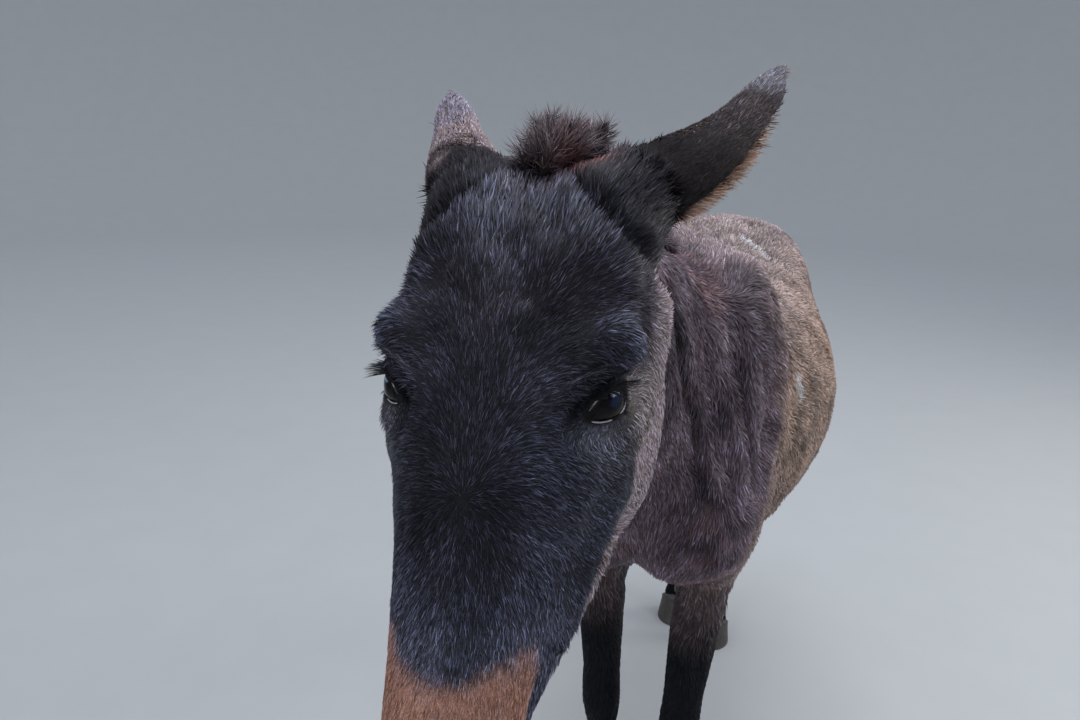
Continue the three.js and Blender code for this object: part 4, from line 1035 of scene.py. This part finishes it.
grow_coat("coat_face", on_face, face_size, 1.8, unwrap_head, 0.72)
grow_coat("coat_body", on_body, body_size, 1.25, unwrap_body, 0.3)
grow_coat("coat_legs", on_legs, body_size, 1.35, unwrap_legs, 0.3)


# The ears

EAR_VOXEL = 0.0022
EAR_BACK = {"foot": (0.0085, 0.0064, 0.0072), "back": (0.070, 0.055, 0.058), "tip": (0.19, 0.18, 0.21)}
RIGHT_BACK = {"back": (0.23, 0.175, 0.185), "tip": (0.20, 0.18, 0.23)}
LINING = (0.42, 0.31, 0.26)
FRINGE = (0.52, 0.33, 0.24)
EAR_TUFT = {"length": 0.011, "width": 0.0013, "cover": 1.9}


def along_ear(points, side):
    """Share of the way from root to tip, and the way out from the ear's middle line."""
    root, axis, length = ear_frame(side)
    along = (points - root) @ axis
    outward = unit(points - root - along[:, None] * axis)
    return along / length, outward


def ear_colours(points, side, inner, share):
    """Black at the foot, lighter to the tip, with a pale lining; the right ear's back is paler."""
    soft = noise(points, 0.02, 9) - 0.5
    colours = blend(EAR_BACK["foot"], EAR_BACK["back"], smooth(share + 0.3 * soft, 0.2, 0.95) * 0.7)
    colours = blend(colours, EAR_BACK["tip"], smooth(share + 0.3 * soft, 0.66, 0.95) * 0.7)
    if side == "right":
        colours = blend(colours, RIGHT_BACK["back"], smooth(share + 0.5 * soft, 0.08, 0.5) * 0.9)
        colours = blend(colours, RIGHT_BACK["tip"], smooth(share + 0.5 * soft, 0.55, 0.85) * 0.8)
    return blend(colours, LINING, inner * 0.75)


def inner_side(normals, outward, side):
    """Share of the ear's lining; the right ear shows its back to the front."""
    inner = smooth(-dot(normals, outward), 0.1, 0.5)
    return inner * (1 - smooth(-normals[:, 1], 0.0, 0.35)) if side == "right" else inner


def build_ear_skin(side):
    """The ear's skin: its foot sunk into the head, its tip a little wider."""
    mesh = grown_skin(f"ear_{side}_skin", [f"ear_{side}"], EAR_VOXEL)
    relax(mesh, 14, np.ones(len(mesh.vertices)))
    points = points_of(mesh) - normals_of(mesh) * 0.0009
    share, outward = along_ear(points, side)
    points -= ear_frame(side)[1] * (0.016 * (1 - smooth(share, 0.02, 0.3)))[:, None]
    points += outward * (0.0035 * bell(share - 0.84, 0.12))[:, None]
    set_points(mesh, points)
    inner = inner_side(normals_of(mesh), outward, side)
    # Painted shade: the skin under the ear's fur is darker than its coat
    paint(mesh, ear_colours(points, side, inner, share) * 0.7)
    piece(mesh.name, mesh, UNDERCOAT, [f"ear_{side}"])
    return mesh


def grow_ear_coat(side, mesh):
    """Short dark tufts on the back, long pale ones in the lining, and a fringe along the lower rim."""
    axis = ear_frame(side)[1]
    roots, normals = scatter(mesh, tufts_needed(**EAR_TUFT))
    share, outward = along_ear(roots, side)
    keep = share > 0.02
    roots, normals, share, outward = roots[keep], normals[keep], share[keep], outward[keep]
    inner = inner_side(normals, outward, side)
    rim = bell(dot(normals, outward), 0.5)
    lower = unit(np.cross([0.0, 1.0, 0.0], axis)) * SIDES[side]
    fringe = smooth(outward @ lower, 0.93, 0.99) * smooth(share, 0.06, 0.2)
    way = unit(along_surface(np.tile(axis, (len(roots), 1)), normals))
    way = unit(way - outward * (0.5 * inner)[:, None] + normals * (0.2 * inner + 0.12 * rim)[:, None])
    way = unit(way + outward * (0.9 * fringe)[:, None])
    length = 0.008 + 0.009 * inner + 0.004 * (1 - smooth(share, 0.0, 0.35)) - 0.003 * smooth(share, 0.8, 1)
    size = (length + 0.004 * fringe, 0.0012 - 0.0004 * fringe, 0.0016 + 0.003 * inner + 0.002 * rim)
    light_rim = 0.4 * rim * smooth(share, 0.2, 0.5) * (random.random(len(roots)) < 0.5)
    colours = ear_colours(roots, side, np.maximum(inner, light_rim), share)
    colours = blend(colours, FRINGE, fringe * random.uniform(0.5, 1.0, len(roots)))

    def unwrap(points):
        share, outward = along_ear(points, side)
        across = unit(np.cross(axis, head_way(0, 0, 1)))
        up = np.cross(across, axis)
        return np.stack([turn_share(outward @ across, outward @ up), share * 0.98], 1)

    tufts(f"coat_ear_{side}", roots, normals, way, size, colours, unwrap, 0.35, DARK_FUR)


for side in SIDES:
    grow_ear_coat(side, build_ear_skin(side))


# The eyes

EYE_COLOURS = {
    "white": (0.0018, 0.0013, 0.0016),
    "iris": (0.0075, 0.0028, 0.0024),
    "pupil": (0.0015, 0.0015, 0.002),
    # Painted reflection of the sky, and painted highlight of the window lamp, on the cornea
    "painted_sky_reflection": (0.010, 0.019, 0.045),
    "window_and_painted_glint": (0.30, 0.36, 0.52),
    "lid": (0.010, 0.008, 0.009),
    "wet_and_painted_sheen": (0.34, 0.31, 0.33),
}
LID_SIDES = 10


def ball(radius, rows=40, columns=56):
    """A closed ball with its poles on the third axis: its points in millimetres, and its faces."""
    polar = np.linspace(0, math.pi, rows + 1)[1:-1]
    turn = angles(columns)
    points = np.stack([
        np.outer(np.sin(polar), np.cos(turn)).ravel(),
        np.outer(np.sin(polar), np.sin(turn)).ravel(),
        np.repeat(np.cos(polar), columns),
    ], 1)
    points = np.concatenate([points, [[0, 0, 1], [0, 0, -1]]]) * radius
    return points, ring_faces(rows - 1, columns, caps=2)[:, ::-1]


def build_eye(side):
    """A dark eyeball with a bulging cornea, an oval pupil, a painted reflection of the sky and a painted
    highlight of the window lamp.
    """
    centre, gaze, _, upward = eye_frame(side)
    across = np.cross(upward, gaze)
    local, faces = ball(EYE_RADIUS - 0.2)
    x, y, z = local.T
    reach = np.hypot(x, y)
    front = z > 0
    bulge = 1 + front * 0.075 * (1 - smooth(reach, 6, 13))
    points = centre + (local * bulge[:, None]) @ np.array([across, upward, gaze]) * MM
    angle = np.arctan2(y, x)
    rays = 0.75 + 0.5 * noise(np.stack([angle * 6, reach * 0.25, reach * 0], 1), 1.0, 11)
    iris = (1 - smooth(reach, 11.0, 12.5)) * front * mix(0.3, 1, smooth(-y, -2, 4))
    colours = blend(EYE_COLOURS["white"], EYE_COLOURS["iris"] * rays[:, None], iris)
    pupil = np.hypot(x / 7.2, y / 4.0)
    colours = blend(colours, EYE_COLOURS["pupil"], (1 - smooth(pupil, 0.85, 1.1)) * front)
    # Painted reflection: a blue patch of sky over the pupil
    painted_sky_reflection = np.hypot((x - 0.5) / 5.5, (y - 2.2) / 3.4)
    colours = blend(colours, EYE_COLOURS["painted_sky_reflection"], 0.9 * (1 - smooth(painted_sky_reflection, 0.5, 1.2)) * front)
    # Painted highlight: a bright patch under the upper lid, where the window lamp is mirrored
    window_and_painted_glint = np.hypot((x - 2.4) / 3.4, (y - 6.6) / 1.7)
    colours = blend(colours, EYE_COLOURS["window_and_painted_glint"], 0.9 * (1 - smooth(window_and_painted_glint, 0.6, 1.1)) * front)
    mesh = new_mesh(f"eyeball_{side}", points, faces)
    paint(mesh, colours)
    piece(mesh.name, mesh, EYEBALL, [f"eye_{side}"])


def tube_mesh(name, line, radii, sides):
    """A closed ring-shaped tube along a loop of places."""
    ahead = unit(np.roll(line, -1, 0) - np.roll(line, 1, 0))
    out = unit(along_surface(unit(line - line.mean(0)), ahead))
    up = np.cross(ahead, out)
    turn = angles(sides)[None, :, None]
    rings = np.cos(turn) * out[:, None] + np.sin(turn) * up[:, None]
    points = line[:, None] + radii[:, None, None] * rings
    return new_mesh(name, points.reshape(-1, 3), ring_faces(len(line), sides, loop=True)[:, ::-1])


def on_opening(side, share, upper, out_by, widen=1.0):
    """Places on the opening's edge, at shares from corner to corner, so far out of the eyeball."""
    centre, gaze, inward, upward = eye_frame(side)
    rise = np.where(upper, opening_height(share, True), -opening_height(share, False)) * widen
    a = share * OPENING["half"]
    depth = np.sqrt(np.maximum((EYE_RADIUS + out_by) ** 2 - a**2 - rise**2, 1))
    return centre + (a[:, None] * inward + rise[:, None] * upward + depth[:, None] * gaze) * MM


def build_lid_edge(side):
    """The edge of the lids, with a pale line along the lower one, partly its own colour and partly a
    painted sheen of the wet edge.
    """
    turn = angles(72)
    share, upper = np.cos(turn), np.sin(turn) > 0
    line = on_opening(side, share, upper, np.where(upper, 0.4, 1.0))
    radii = np.where(upper, 0.0009, 0.0006) * (0.75 + 0.5 * noise(line, 0.004, 22))
    mesh = tube_mesh(f"lid_edge_{side}", line, radii, LID_SIDES)
    # A pale line on the lower lid: partly the rim's own colour, partly a painted sheen of the wet edge
    wet_and_painted_sheen = np.where(upper, 0.0, 0.9) * smooth(share, -1.0, 0.2)
    paint(mesh, np.repeat(blend(EYE_COLOURS["lid"], EYE_COLOURS["wet_and_painted_sheen"], wet_and_painted_sheen), LID_SIDES, axis=0))
    piece(mesh.name, mesh, WET_SKIN)


for side in SIDES:
    build_eye(side)
    build_lid_edge(side)


# Strands: three-sided, tapered, closed, each along its own line of places

def strands(name, lines, radii, colours, unwrap):
    """Lines are N strands by K places; radii and colours are given for each place."""
    count, steps, _ = lines.shape
    ahead = unit(np.gradient(lines, axis=1))
    side = unit(np.cross(ahead, unit(random.normal(size=(count, 1, 3)))))
    other = np.cross(ahead, side)
    rings = [lines + (side * math.cos(a) + other * math.sin(a)) * radii[:, :, None] for a in angles(3)]
    body = np.stack(rings, 2)[:, :-1].reshape(count, -1, 3)
    points = np.concatenate([body, lines[:, -1:]], 1)
    shade = np.concatenate([np.repeat(colours[:, :-1], 3, axis=1), colours[:, -1:]], 1)
    tip = 3 * (steps - 1)
    faces = [(2, 1, 0), (tip - 3, tip - 2, tip), (tip - 2, tip - 1, tip), (tip - 1, tip - 3, tip)]
    faces = np.concatenate([faces, ring_faces(steps - 1, 3)])
    size = points.shape[1]
    faces = (np.arange(count)[:, None, None] * size + faces).reshape(-1, 3)
    across = np.where(np.arange(size) % 3 == 1, 0.0015, -0.0015)
    spread = np.stack([across, np.linspace(-0.0015, 0.0015, size)], 1)
    uv = np.clip(unwrap(lines[:, 0]), 0.004, 0.996)[:, None, :] + spread
    mesh = new_mesh(name, points.reshape(-1, 3), faces)
    paint(mesh, shade.reshape(-1, 3))
    add_map(mesh, "OFBake", faces, uv.reshape(-1, 2))
    piece(name, mesh, LONG_HAIR)


def arcs(roots, starts, ends, lengths, steps):
    """Lines that leave their roots one way and bend over to another."""
    share = np.linspace(0, 1, steps)[None, :, None]
    step = unit(starts[:, None, :] * (1 - share) + ends[:, None, :] * share)
    step = step * (lengths / (steps - 1))[:, None, None]
    return roots[:, None, :] + np.cumsum(step, axis=1) - step[:, :1]


# The mane: a short dense ridge that stands up, fullest between the ears

MANE = {"front": -0.705, "back": -0.12, "half": 0.014, "strands": 8000, "steps": 4}
MANE_DARK, MANE_TIPS = np.array((0.018, 0.014, 0.015)), np.array((0.200, 0.150, 0.158))
MANE_TUFT = {"length": 0.012, "width": 0.0011, "height": 0.001, "cover": 1.5}


def on_crest(points):
    """The band along the top of the neck that the mane grows from."""
    x, y, z = points.T
    half = MANE["half"] + 0.006 * bell(y - MANE["front"] - 0.02, 0.05)
    middle = -0.0035 * (1 - smooth(y, -0.7, -0.5))
    line = np.interp(y, [-0.72, -0.45, -0.12], [1.30, 1.15, 1.05])
    return (np.abs(x - middle) < half) & (y > MANE["front"] - 0.008) & (y < MANE["back"]) & (z > line)


def mane_colours(points, share):
    """Dark at the roots and lighter to the tips, with a touch of rust by the left ear."""
    colours = MANE_DARK + (MANE_TIPS - MANE_DARK) * np.asarray(share)[..., None] ** 1.5
    return blend(colours, RUST, 0.4 * spot(points, from_head(22, 0, 42), [0.013, 0.016, 0.016]))


def build_mane_core():
    """A dark dome under the hair between the ears, which sinks into the neck behind them."""
    mesh = grown_skin("mane_core", ["mane"], 0.005)
    relax(mesh, 150, np.ones(len(mesh.vertices)))
    points = points_of(mesh)
    behind = smooth(points[:, 1], MANE["front"] + 0.06, MANE["front"] + 0.12)
    points[:, 0] *= mix(0.85, 0.6, behind)
    points[:, 2] -= mix(0.006, 0.055, behind)
    set_points(mesh, points)
    relax(mesh, 10, np.ones(len(points)))
    paint(mesh, mane_colours(points_of(mesh), np.full(len(points), 0.1)))
    piece(mesh.name, mesh, UNDERCOAT, ["mane"])
    return mesh


def grow_mane_tufts(mesh):
    """Short tufts that stand up all over the dome."""
    roots, normals = scatter(mesh, tufts_needed(**MANE_TUFT))
    keep = roots[:, 1] < MANE["front"] + 0.10
    roots, normals = roots[keep], normals[keep]
    way = 0.9 * normals + 1.1 * drift(roots, 0.03, 12) + random.normal(0, 0.4, roots.shape) + [0, 0.1, 0.5]
    size = [np.full(len(roots), MANE_TUFT[key]) for key in ("length", "width", "height")]
    colours = mane_colours(roots, random.uniform(0.35, 0.9, len(roots)))
    tufts("coat_mane", roots, normals, unit(way), size, colours, unwrap_body, 0.4, DARK_FUR)


def build_mane():
    """Hair that stands up from the crest, longest and leaning forward between the ears."""
    roots, normals = scatter(skin_mesh, 4e5, on_crest)
    keep = random.permutation(len(roots))[: MANE["strands"]]
    roots, normals = roots[keep], normals[keep]
    x, y, _ = roots.T
    front = bell(y - MANE["front"] - 0.02, 0.07)
    height = mix(0.040, 0.044, 1 - smooth(y, MANE["front"] + 0.06, MANE["front"] + 0.12)) + 0.004 * front
    height *= smooth(MANE["back"] - y, 0, 0.10) * random.uniform(0.6, 1.0, len(roots))
    height *= 1 - 0.35 * np.clip(np.abs(x) / MANE["half"], 0, 1) ** 2
    height += 0.008
    clump = drift(roots, 0.025, 12)
    side = np.stack([x / 0.03, 0.15 - 0.8 * front * (y < MANE["front"] + 0.02), np.zeros(len(y))], 1)
    start = unit(normals + 0.2 * side + 0.5 * clump + random.normal(0, 0.15, roots.shape))
    end = unit(start + 0.35 * side + 1.2 * clump + random.normal(0, 0.6, roots.shape))
    lines = arcs(roots - normals * 0.002, start, end, height, MANE["steps"])
    radii = random.uniform(0.0003, 0.0006, len(roots))[:, None] * np.array([1.0, 1.0, 0.7, 0.0])
    tone = random.uniform(0.6, 1.5, len(roots))[:, None, None]
    share = np.tile(np.linspace(0, 1, MANE["steps"]), len(roots))
    colours = mane_colours(lines.reshape(-1, 3), share).reshape(lines.shape) * tone
    strands("mane_hair", lines, radii, colours, unwrap_body)


grow_mane_tufts(build_mane_core())
build_mane()


# The tail: a slim dock under long straight hair that thickens, then thins to its tip

# The dock's places: y, z and radius, in metres
DOCK = np.array([
    (0.930, 1.068, 0.029), (0.954, 1.052, 0.026), (0.972, 1.015, 0.022), (0.982, 0.945, 0.018),
    (0.982, 0.845, 0.015), (0.978, 0.735, 0.011), (0.974, 0.660, 0.007),
])
DOCK_RINGS, DOCK_SIDES = 30, 20
TAIL = {"tip": 0.45, "full": 0.036, "strands": 2100, "steps": 9}
TAIL_BLACK, TAIL_TIPS = np.array((0.013, 0.011, 0.012)), np.array((0.040, 0.028, 0.026))
DOCK_BLACK = (0.012, 0.010, 0.011)


def along_dock(t):
    """Place and radius at so many steps along the dock."""
    y, z, radius = (np.interp(t, range(len(DOCK)), DOCK[:, n]) for n in range(3))
    return np.stack([y * 0, y, z], 1), radius


def build_dock():
    line, radius = along_dock(np.linspace(0, len(DOCK) - 1, DOCK_RINGS))
    across = np.array([1.0, 0, 0])
    up = np.cross(across, unit(np.gradient(line, axis=0)))
    turn = angles(DOCK_SIDES)[None, :, None]
    rings = np.cos(turn) * across + np.sin(turn) * up[:, None]
    points = (line[:, None] + radius[:, None, None] * rings).reshape(-1, 3)
    points = np.concatenate([points, line[:1], line[-1:]])
    mesh = new_mesh("tail_dock", points, ring_faces(DOCK_RINGS, DOCK_SIDES, caps=2))
    paint(mesh, np.tile(DOCK_BLACK, (len(points), 1)))
    piece("tail_dock", mesh, UNDERCOAT, ["tail"])


def build_tail():
    """Hair from all along the dock that falls round it and thins to a tip."""
    count = TAIL["strands"]
    share = random.random(count) ** 0.8
    place, radius = along_dock(share * (len(DOCK) - 1.2) + 0.2)
    angle = random.uniform(0, 2 * math.pi, count)
    out = np.stack([np.cos(angle), np.sin(angle), np.zeros(count)], 1)
    reach = (radius * 0.9)[:, None]
    z = place[:, 2:]
    end = TAIL["tip"] + 0.34 * random.random(count) ** 2 * (0.4 + 0.6 * share)
    end = np.minimum(end[:, None], z - 0.10)
    fall = np.linspace(0, 1, TAIL["steps"])
    height = z + (end - z) * fall
    full = TAIL["full"] * random.uniform(0.35, 1.0, count)[:, None]
    width = reach * (1 - fall) + full * np.sin(np.pi * fall**0.8) ** 0.7
    width = width * (0.35 + 0.65 * smooth(height, TAIL["tip"] - 0.02, TAIL["tip"] + 0.24))
    core = np.interp(height, DOCK[::-1, 1], DOCK[::-1, 0])
    wave = 0.004 * np.sin(fall * 9 + random.uniform(0, 6, count)[:, None])
    lines = np.stack([out[:, :1] * width + wave, core + out[:, 1:2] * width * 0.8, height], 2)
    lines[:, 0] = place + out * reach
    taper = np.interp(fall, [0, 0.1, 0.6, 1], [0.6, 1.0, 0.8, 0.1])
    radii = random.uniform(0.0007, 0.0016, count)[:, None] * taper
    tone = random.uniform(0.6, 1.5, count)[:, None, None]
    colours = (TAIL_BLACK + (TAIL_TIPS - TAIL_BLACK) * fall[None, :, None] ** 2) * tone

    def unwrap(points):
        x, y, z = points.T
        return np.stack([turn_share(x, y - 0.975), (z - 0.4) / 0.75], 1)

    strands("tail_hair", lines, radii, colours, unwrap)


build_dock()
build_tail()


# The lashes

LASH_BLACK = (0.010, 0.008, 0.008)
LASH_TAPER = np.array([1, 1, 0.85, 0.65, 0.4, 0.0]) * 0.00028


def build_lashes(side, count=70):
    """Long drooping lashes along the outer part of the upper lid, and a few short lower ones."""
    centre, _, inward, upward = eye_frame(side)
    share = random.uniform(-0.75, 0.15, count)
    upper = random.random(count) < 0.8
    root = on_opening(side, share, upper, 1.6, widen=1.08)
    out = unit(root - centre)
    start = unit(out + np.where(upper, -0.6, -0.3)[:, None] * upward - 0.1 * inward)
    end = unit(out + np.where(upper, -1.0, -0.9)[:, None] * upward - 0.25 * inward)
    end = unit(end + random.normal(0, 0.05, end.shape))
    length = np.where(upper, random.uniform(0.012, 0.021, count), random.uniform(0.003, 0.007, count))
    lines = arcs(root, start, end, length, len(LASH_TAPER))
    radii = np.tile(LASH_TAPER, (count, 1))
    colours = np.tile(LASH_BLACK, (count, len(LASH_TAPER), 1))

    def unwrap(points):
        off = (points - centre) / MM
        return np.stack([0.5 + off @ inward / 60, 0.5 + off @ upward / 60], 1)

    strands(f"lashes_{side}", lines, radii, colours, unwrap)


for side in SIDES:
    build_lashes(side)


# The hooves: upright walls with growth rings, a thick coronet, heels parted behind, a hollow sole

HOOF = {
    "half_width": 49, "half_length": 57, "lean": 24, "waist": 13, "shorter": 17, "coronet": 57,
    "slope": 0.386, "rear": 0.86, "cleft": 0.16,
}
HOOF_SIDES = 72
HOOF_SOLE = [(5.0, 0.05), (5.0, 0.72), (0.0, 0.84), (0.0, 0.95)]
HOOF_GREY, HOOF_DUST = (0.050, 0.044, 0.040), (0.11, 0.095, 0.08)


def hoof_ring(at, height, size=1.0):
    """Places round the wall at a height in millimetres, by the same taper as the solid's."""
    angle = angles(HOOF_SIDES)
    up = (height - 4) / 96
    rear = np.where(np.sin(angle) > 0, HOOF["rear"], 1.0)
    cleft = 1 - HOOF["cleft"] * bell(angle - math.pi / 2, 0.16) * size
    half_length = (HOOF["half_length"] - HOOF["shorter"] * up) * size * rear * cleft
    x = (HOOF["half_width"] - HOOF["waist"] * up) * size * np.cos(angle)
    y = -16 + HOOF["lean"] * up + half_length * np.sin(angle)
    return np.stack([x, y, height * np.ones(HOOF_SIDES)], 1) * MM + at


def hoof_wall(at, top, share):
    """A ring of the wall, with its growth ring and the swelling under the coronet."""
    height = top * share
    growth = 0.5 * np.sin(height * 0.9 + 2 * noise(hoof_ring(at, height), 0.03, 15))
    band = 1.6 * smooth(share, 0.86, 0.93) * (1 - smooth(share, 0.97, 1.0))
    return hoof_ring(at, height, 1 + (growth * 0.6 + band) / 50 - 0.012 * (share < 0.03))


def build_hoof(end, side):
    """From the hollow sole round its rim, up the wall and in over the coronet."""
    low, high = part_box(f"{end}_hoof_{side}")
    at = np.array([(low.x + high.x) / 2, (low.y + high.y) / 2 + 0.020, low.z])
    top = np.full(HOOF_SIDES, float(HOOF["coronet"]))
    for _ in range(6):
        top = HOOF["coronet"] - HOOF["slope"] * (hoof_ring(at, top)[:, 1] - at[1]) / MM
    rings = [hoof_ring(at, height, size) for height, size in HOOF_SOLE]
    rings += [hoof_wall(at, top, share) for share in np.linspace(0.02, 1, 34)]
    rings += [hoof_ring(at, top + 4, 0.86), hoof_ring(at, top + 8, 0.6)]
    points = np.concatenate(rings + [rings[0].mean(0)[None], rings[-1].mean(0)[None]])
    mesh = new_mesh(f"hoof_{end}_{side}", points, ring_faces(len(rings), HOOF_SIDES, caps=2))
    streak = noise(points * [1, 1, 0.08], 0.004, 16)
    colours = HOOF_GREY * (0.6 + 0.8 * streak)[:, None]
    dust = 0.6 * bell((points[:, 2] - at[2]) / MM - 1, 5) + 0.3 * noise(points, 0.02, 17)
    paint(mesh, blend(colours, HOOF_DUST, dust))
    piece(mesh.name, mesh, HORN, [f"{end}_hoof_{side}"])


for end in ENDS:
    for side in SIDES:
        build_hoof(end, side)


# The floor, the light and the camera

CAMERA_FROM_EYES = Vector((0.1853, -0.4887, 0.1808))
CAMERA_TURN, CAMERA_PITCH, CAMERA_ROLL = (math.radians(angle) for angle in (17.93, 16.8, 1.92))
LENS_SHARE = 816.6 / 1080
SENSOR = 36.0
BACKDROP = {"flat": 9.0, "bend": 5.0, "height": 9.0, "sides": 96, "steps": 24}
FLOOR_GREY = (0.452, 0.464)


def floor_material():
    material, tree, shader = node_material("studio_floor", 0.9)
    factor = speckle(tree, 6, *FLOOR_GREY)
    colour = tree_node(tree, "ShaderNodeCombineColor")
    for channel in ("Red", "Green", "Blue"):
        tree.links.new(factor, colour.inputs[channel])
    tree.links.new(colour.outputs["Color"], shader.inputs["Base Color"])
    return material


def build_stage():
    """A flat round floor that bends up into a wall all round."""
    bend = np.linspace(0, math.pi / 2, BACKDROP["steps"])
    wall = BACKDROP["flat"] + BACKDROP["bend"]
    reach = np.concatenate([[0.5, 4], BACKDROP["flat"] + BACKDROP["bend"] * np.sin(bend), [wall]])
    rise = np.concatenate([[0, 0], BACKDROP["bend"] * (1 - np.cos(bend)), [BACKDROP["height"]]])
    turn = angles(BACKDROP["sides"])
    rings = [np.outer(reach, np.cos(turn)), np.outer(reach, np.sin(turn)), np.outer(rise, turn * 0 + 1)]
    points = np.concatenate([np.stack(rings, 2).reshape(-1, 3), [[0, 0, 0]]])
    mesh = new_mesh("floor", points, ring_faces(len(reach), len(turn), caps=1)[:, ::-1])
    floor = bpy.data.objects.new("floor", mesh)
    floor.data.materials.append(floor_material())
    bpy.context.scene.collection.objects.link(floor)


WORLD = {"colour": (0.80, 0.88, 1.0, 1), "strength": 0.93}

# Each lamp's name, place, target, size, power and colour
LAMPS = [
    ("overhead", (0.3, 0.2, 4.4), (0, 0, 0.9), 2.4, 75, (0.90, 0.95, 1.0)),
    ("front", (-1.6, -4.0, 3.4), (0, -0.7, 1.1), 1.4, 26, (0.95, 0.97, 1.0)),
    ("window_and_painted_glint", (3.0, -0.25, 2.5), EYES_MIDDLE, 0.9, 20, (0.85, 0.92, 1.0)),
    ("rim", (3.4, 2.6, 2.8), (0, 0, 1.0), 1.6, 45, (1.0, 0.96, 0.92)),
]


def build_light():
    world = bpy.data.worlds.new("studio")
    bpy.context.scene.world = world
    world.use_nodes = True
    background = world.node_tree.nodes["Background"]
    background.inputs["Color"].default_value = WORLD["colour"]
    background.inputs["Strength"].default_value = WORLD["strength"]
    for name, at, target, size, power, colour in LAMPS:
        lamp = bpy.data.lights.new(name, "AREA")
        lamp.shape = "DISK"
        lamp.size = size
        lamp.energy = power
        lamp.color = colour
        obj = bpy.data.objects.new(name, lamp)
        obj.location = at
        obj.rotation_euler = (Vector(target) - Vector(at)).to_track_quat("-Z", "Y").to_euler()
        bpy.context.scene.collection.objects.link(obj)


def build_camera():
    lens = bpy.data.cameras.new("camera")
    lens.sensor_width = SENSOR
    lens.lens = LENS_SHARE * SENSOR
    camera = bpy.data.objects.new("camera", lens)
    place = Matrix.Translation(Vector(EYES_MIDDLE) + CAMERA_FROM_EYES)
    turn = Matrix.Rotation(CAMERA_TURN, 4, "Z") @ Matrix.Rotation(math.pi / 2 - CAMERA_PITCH, 4, "X")
    camera.matrix_world = place @ turn @ Matrix.Rotation(CAMERA_ROLL, 4, "Z")
    bpy.context.scene.collection.objects.link(camera)
    bpy.context.scene.camera = camera


build_stage()
build_light()
build_camera()
bpy.context.scene.view_settings.view_transform = "Standard"
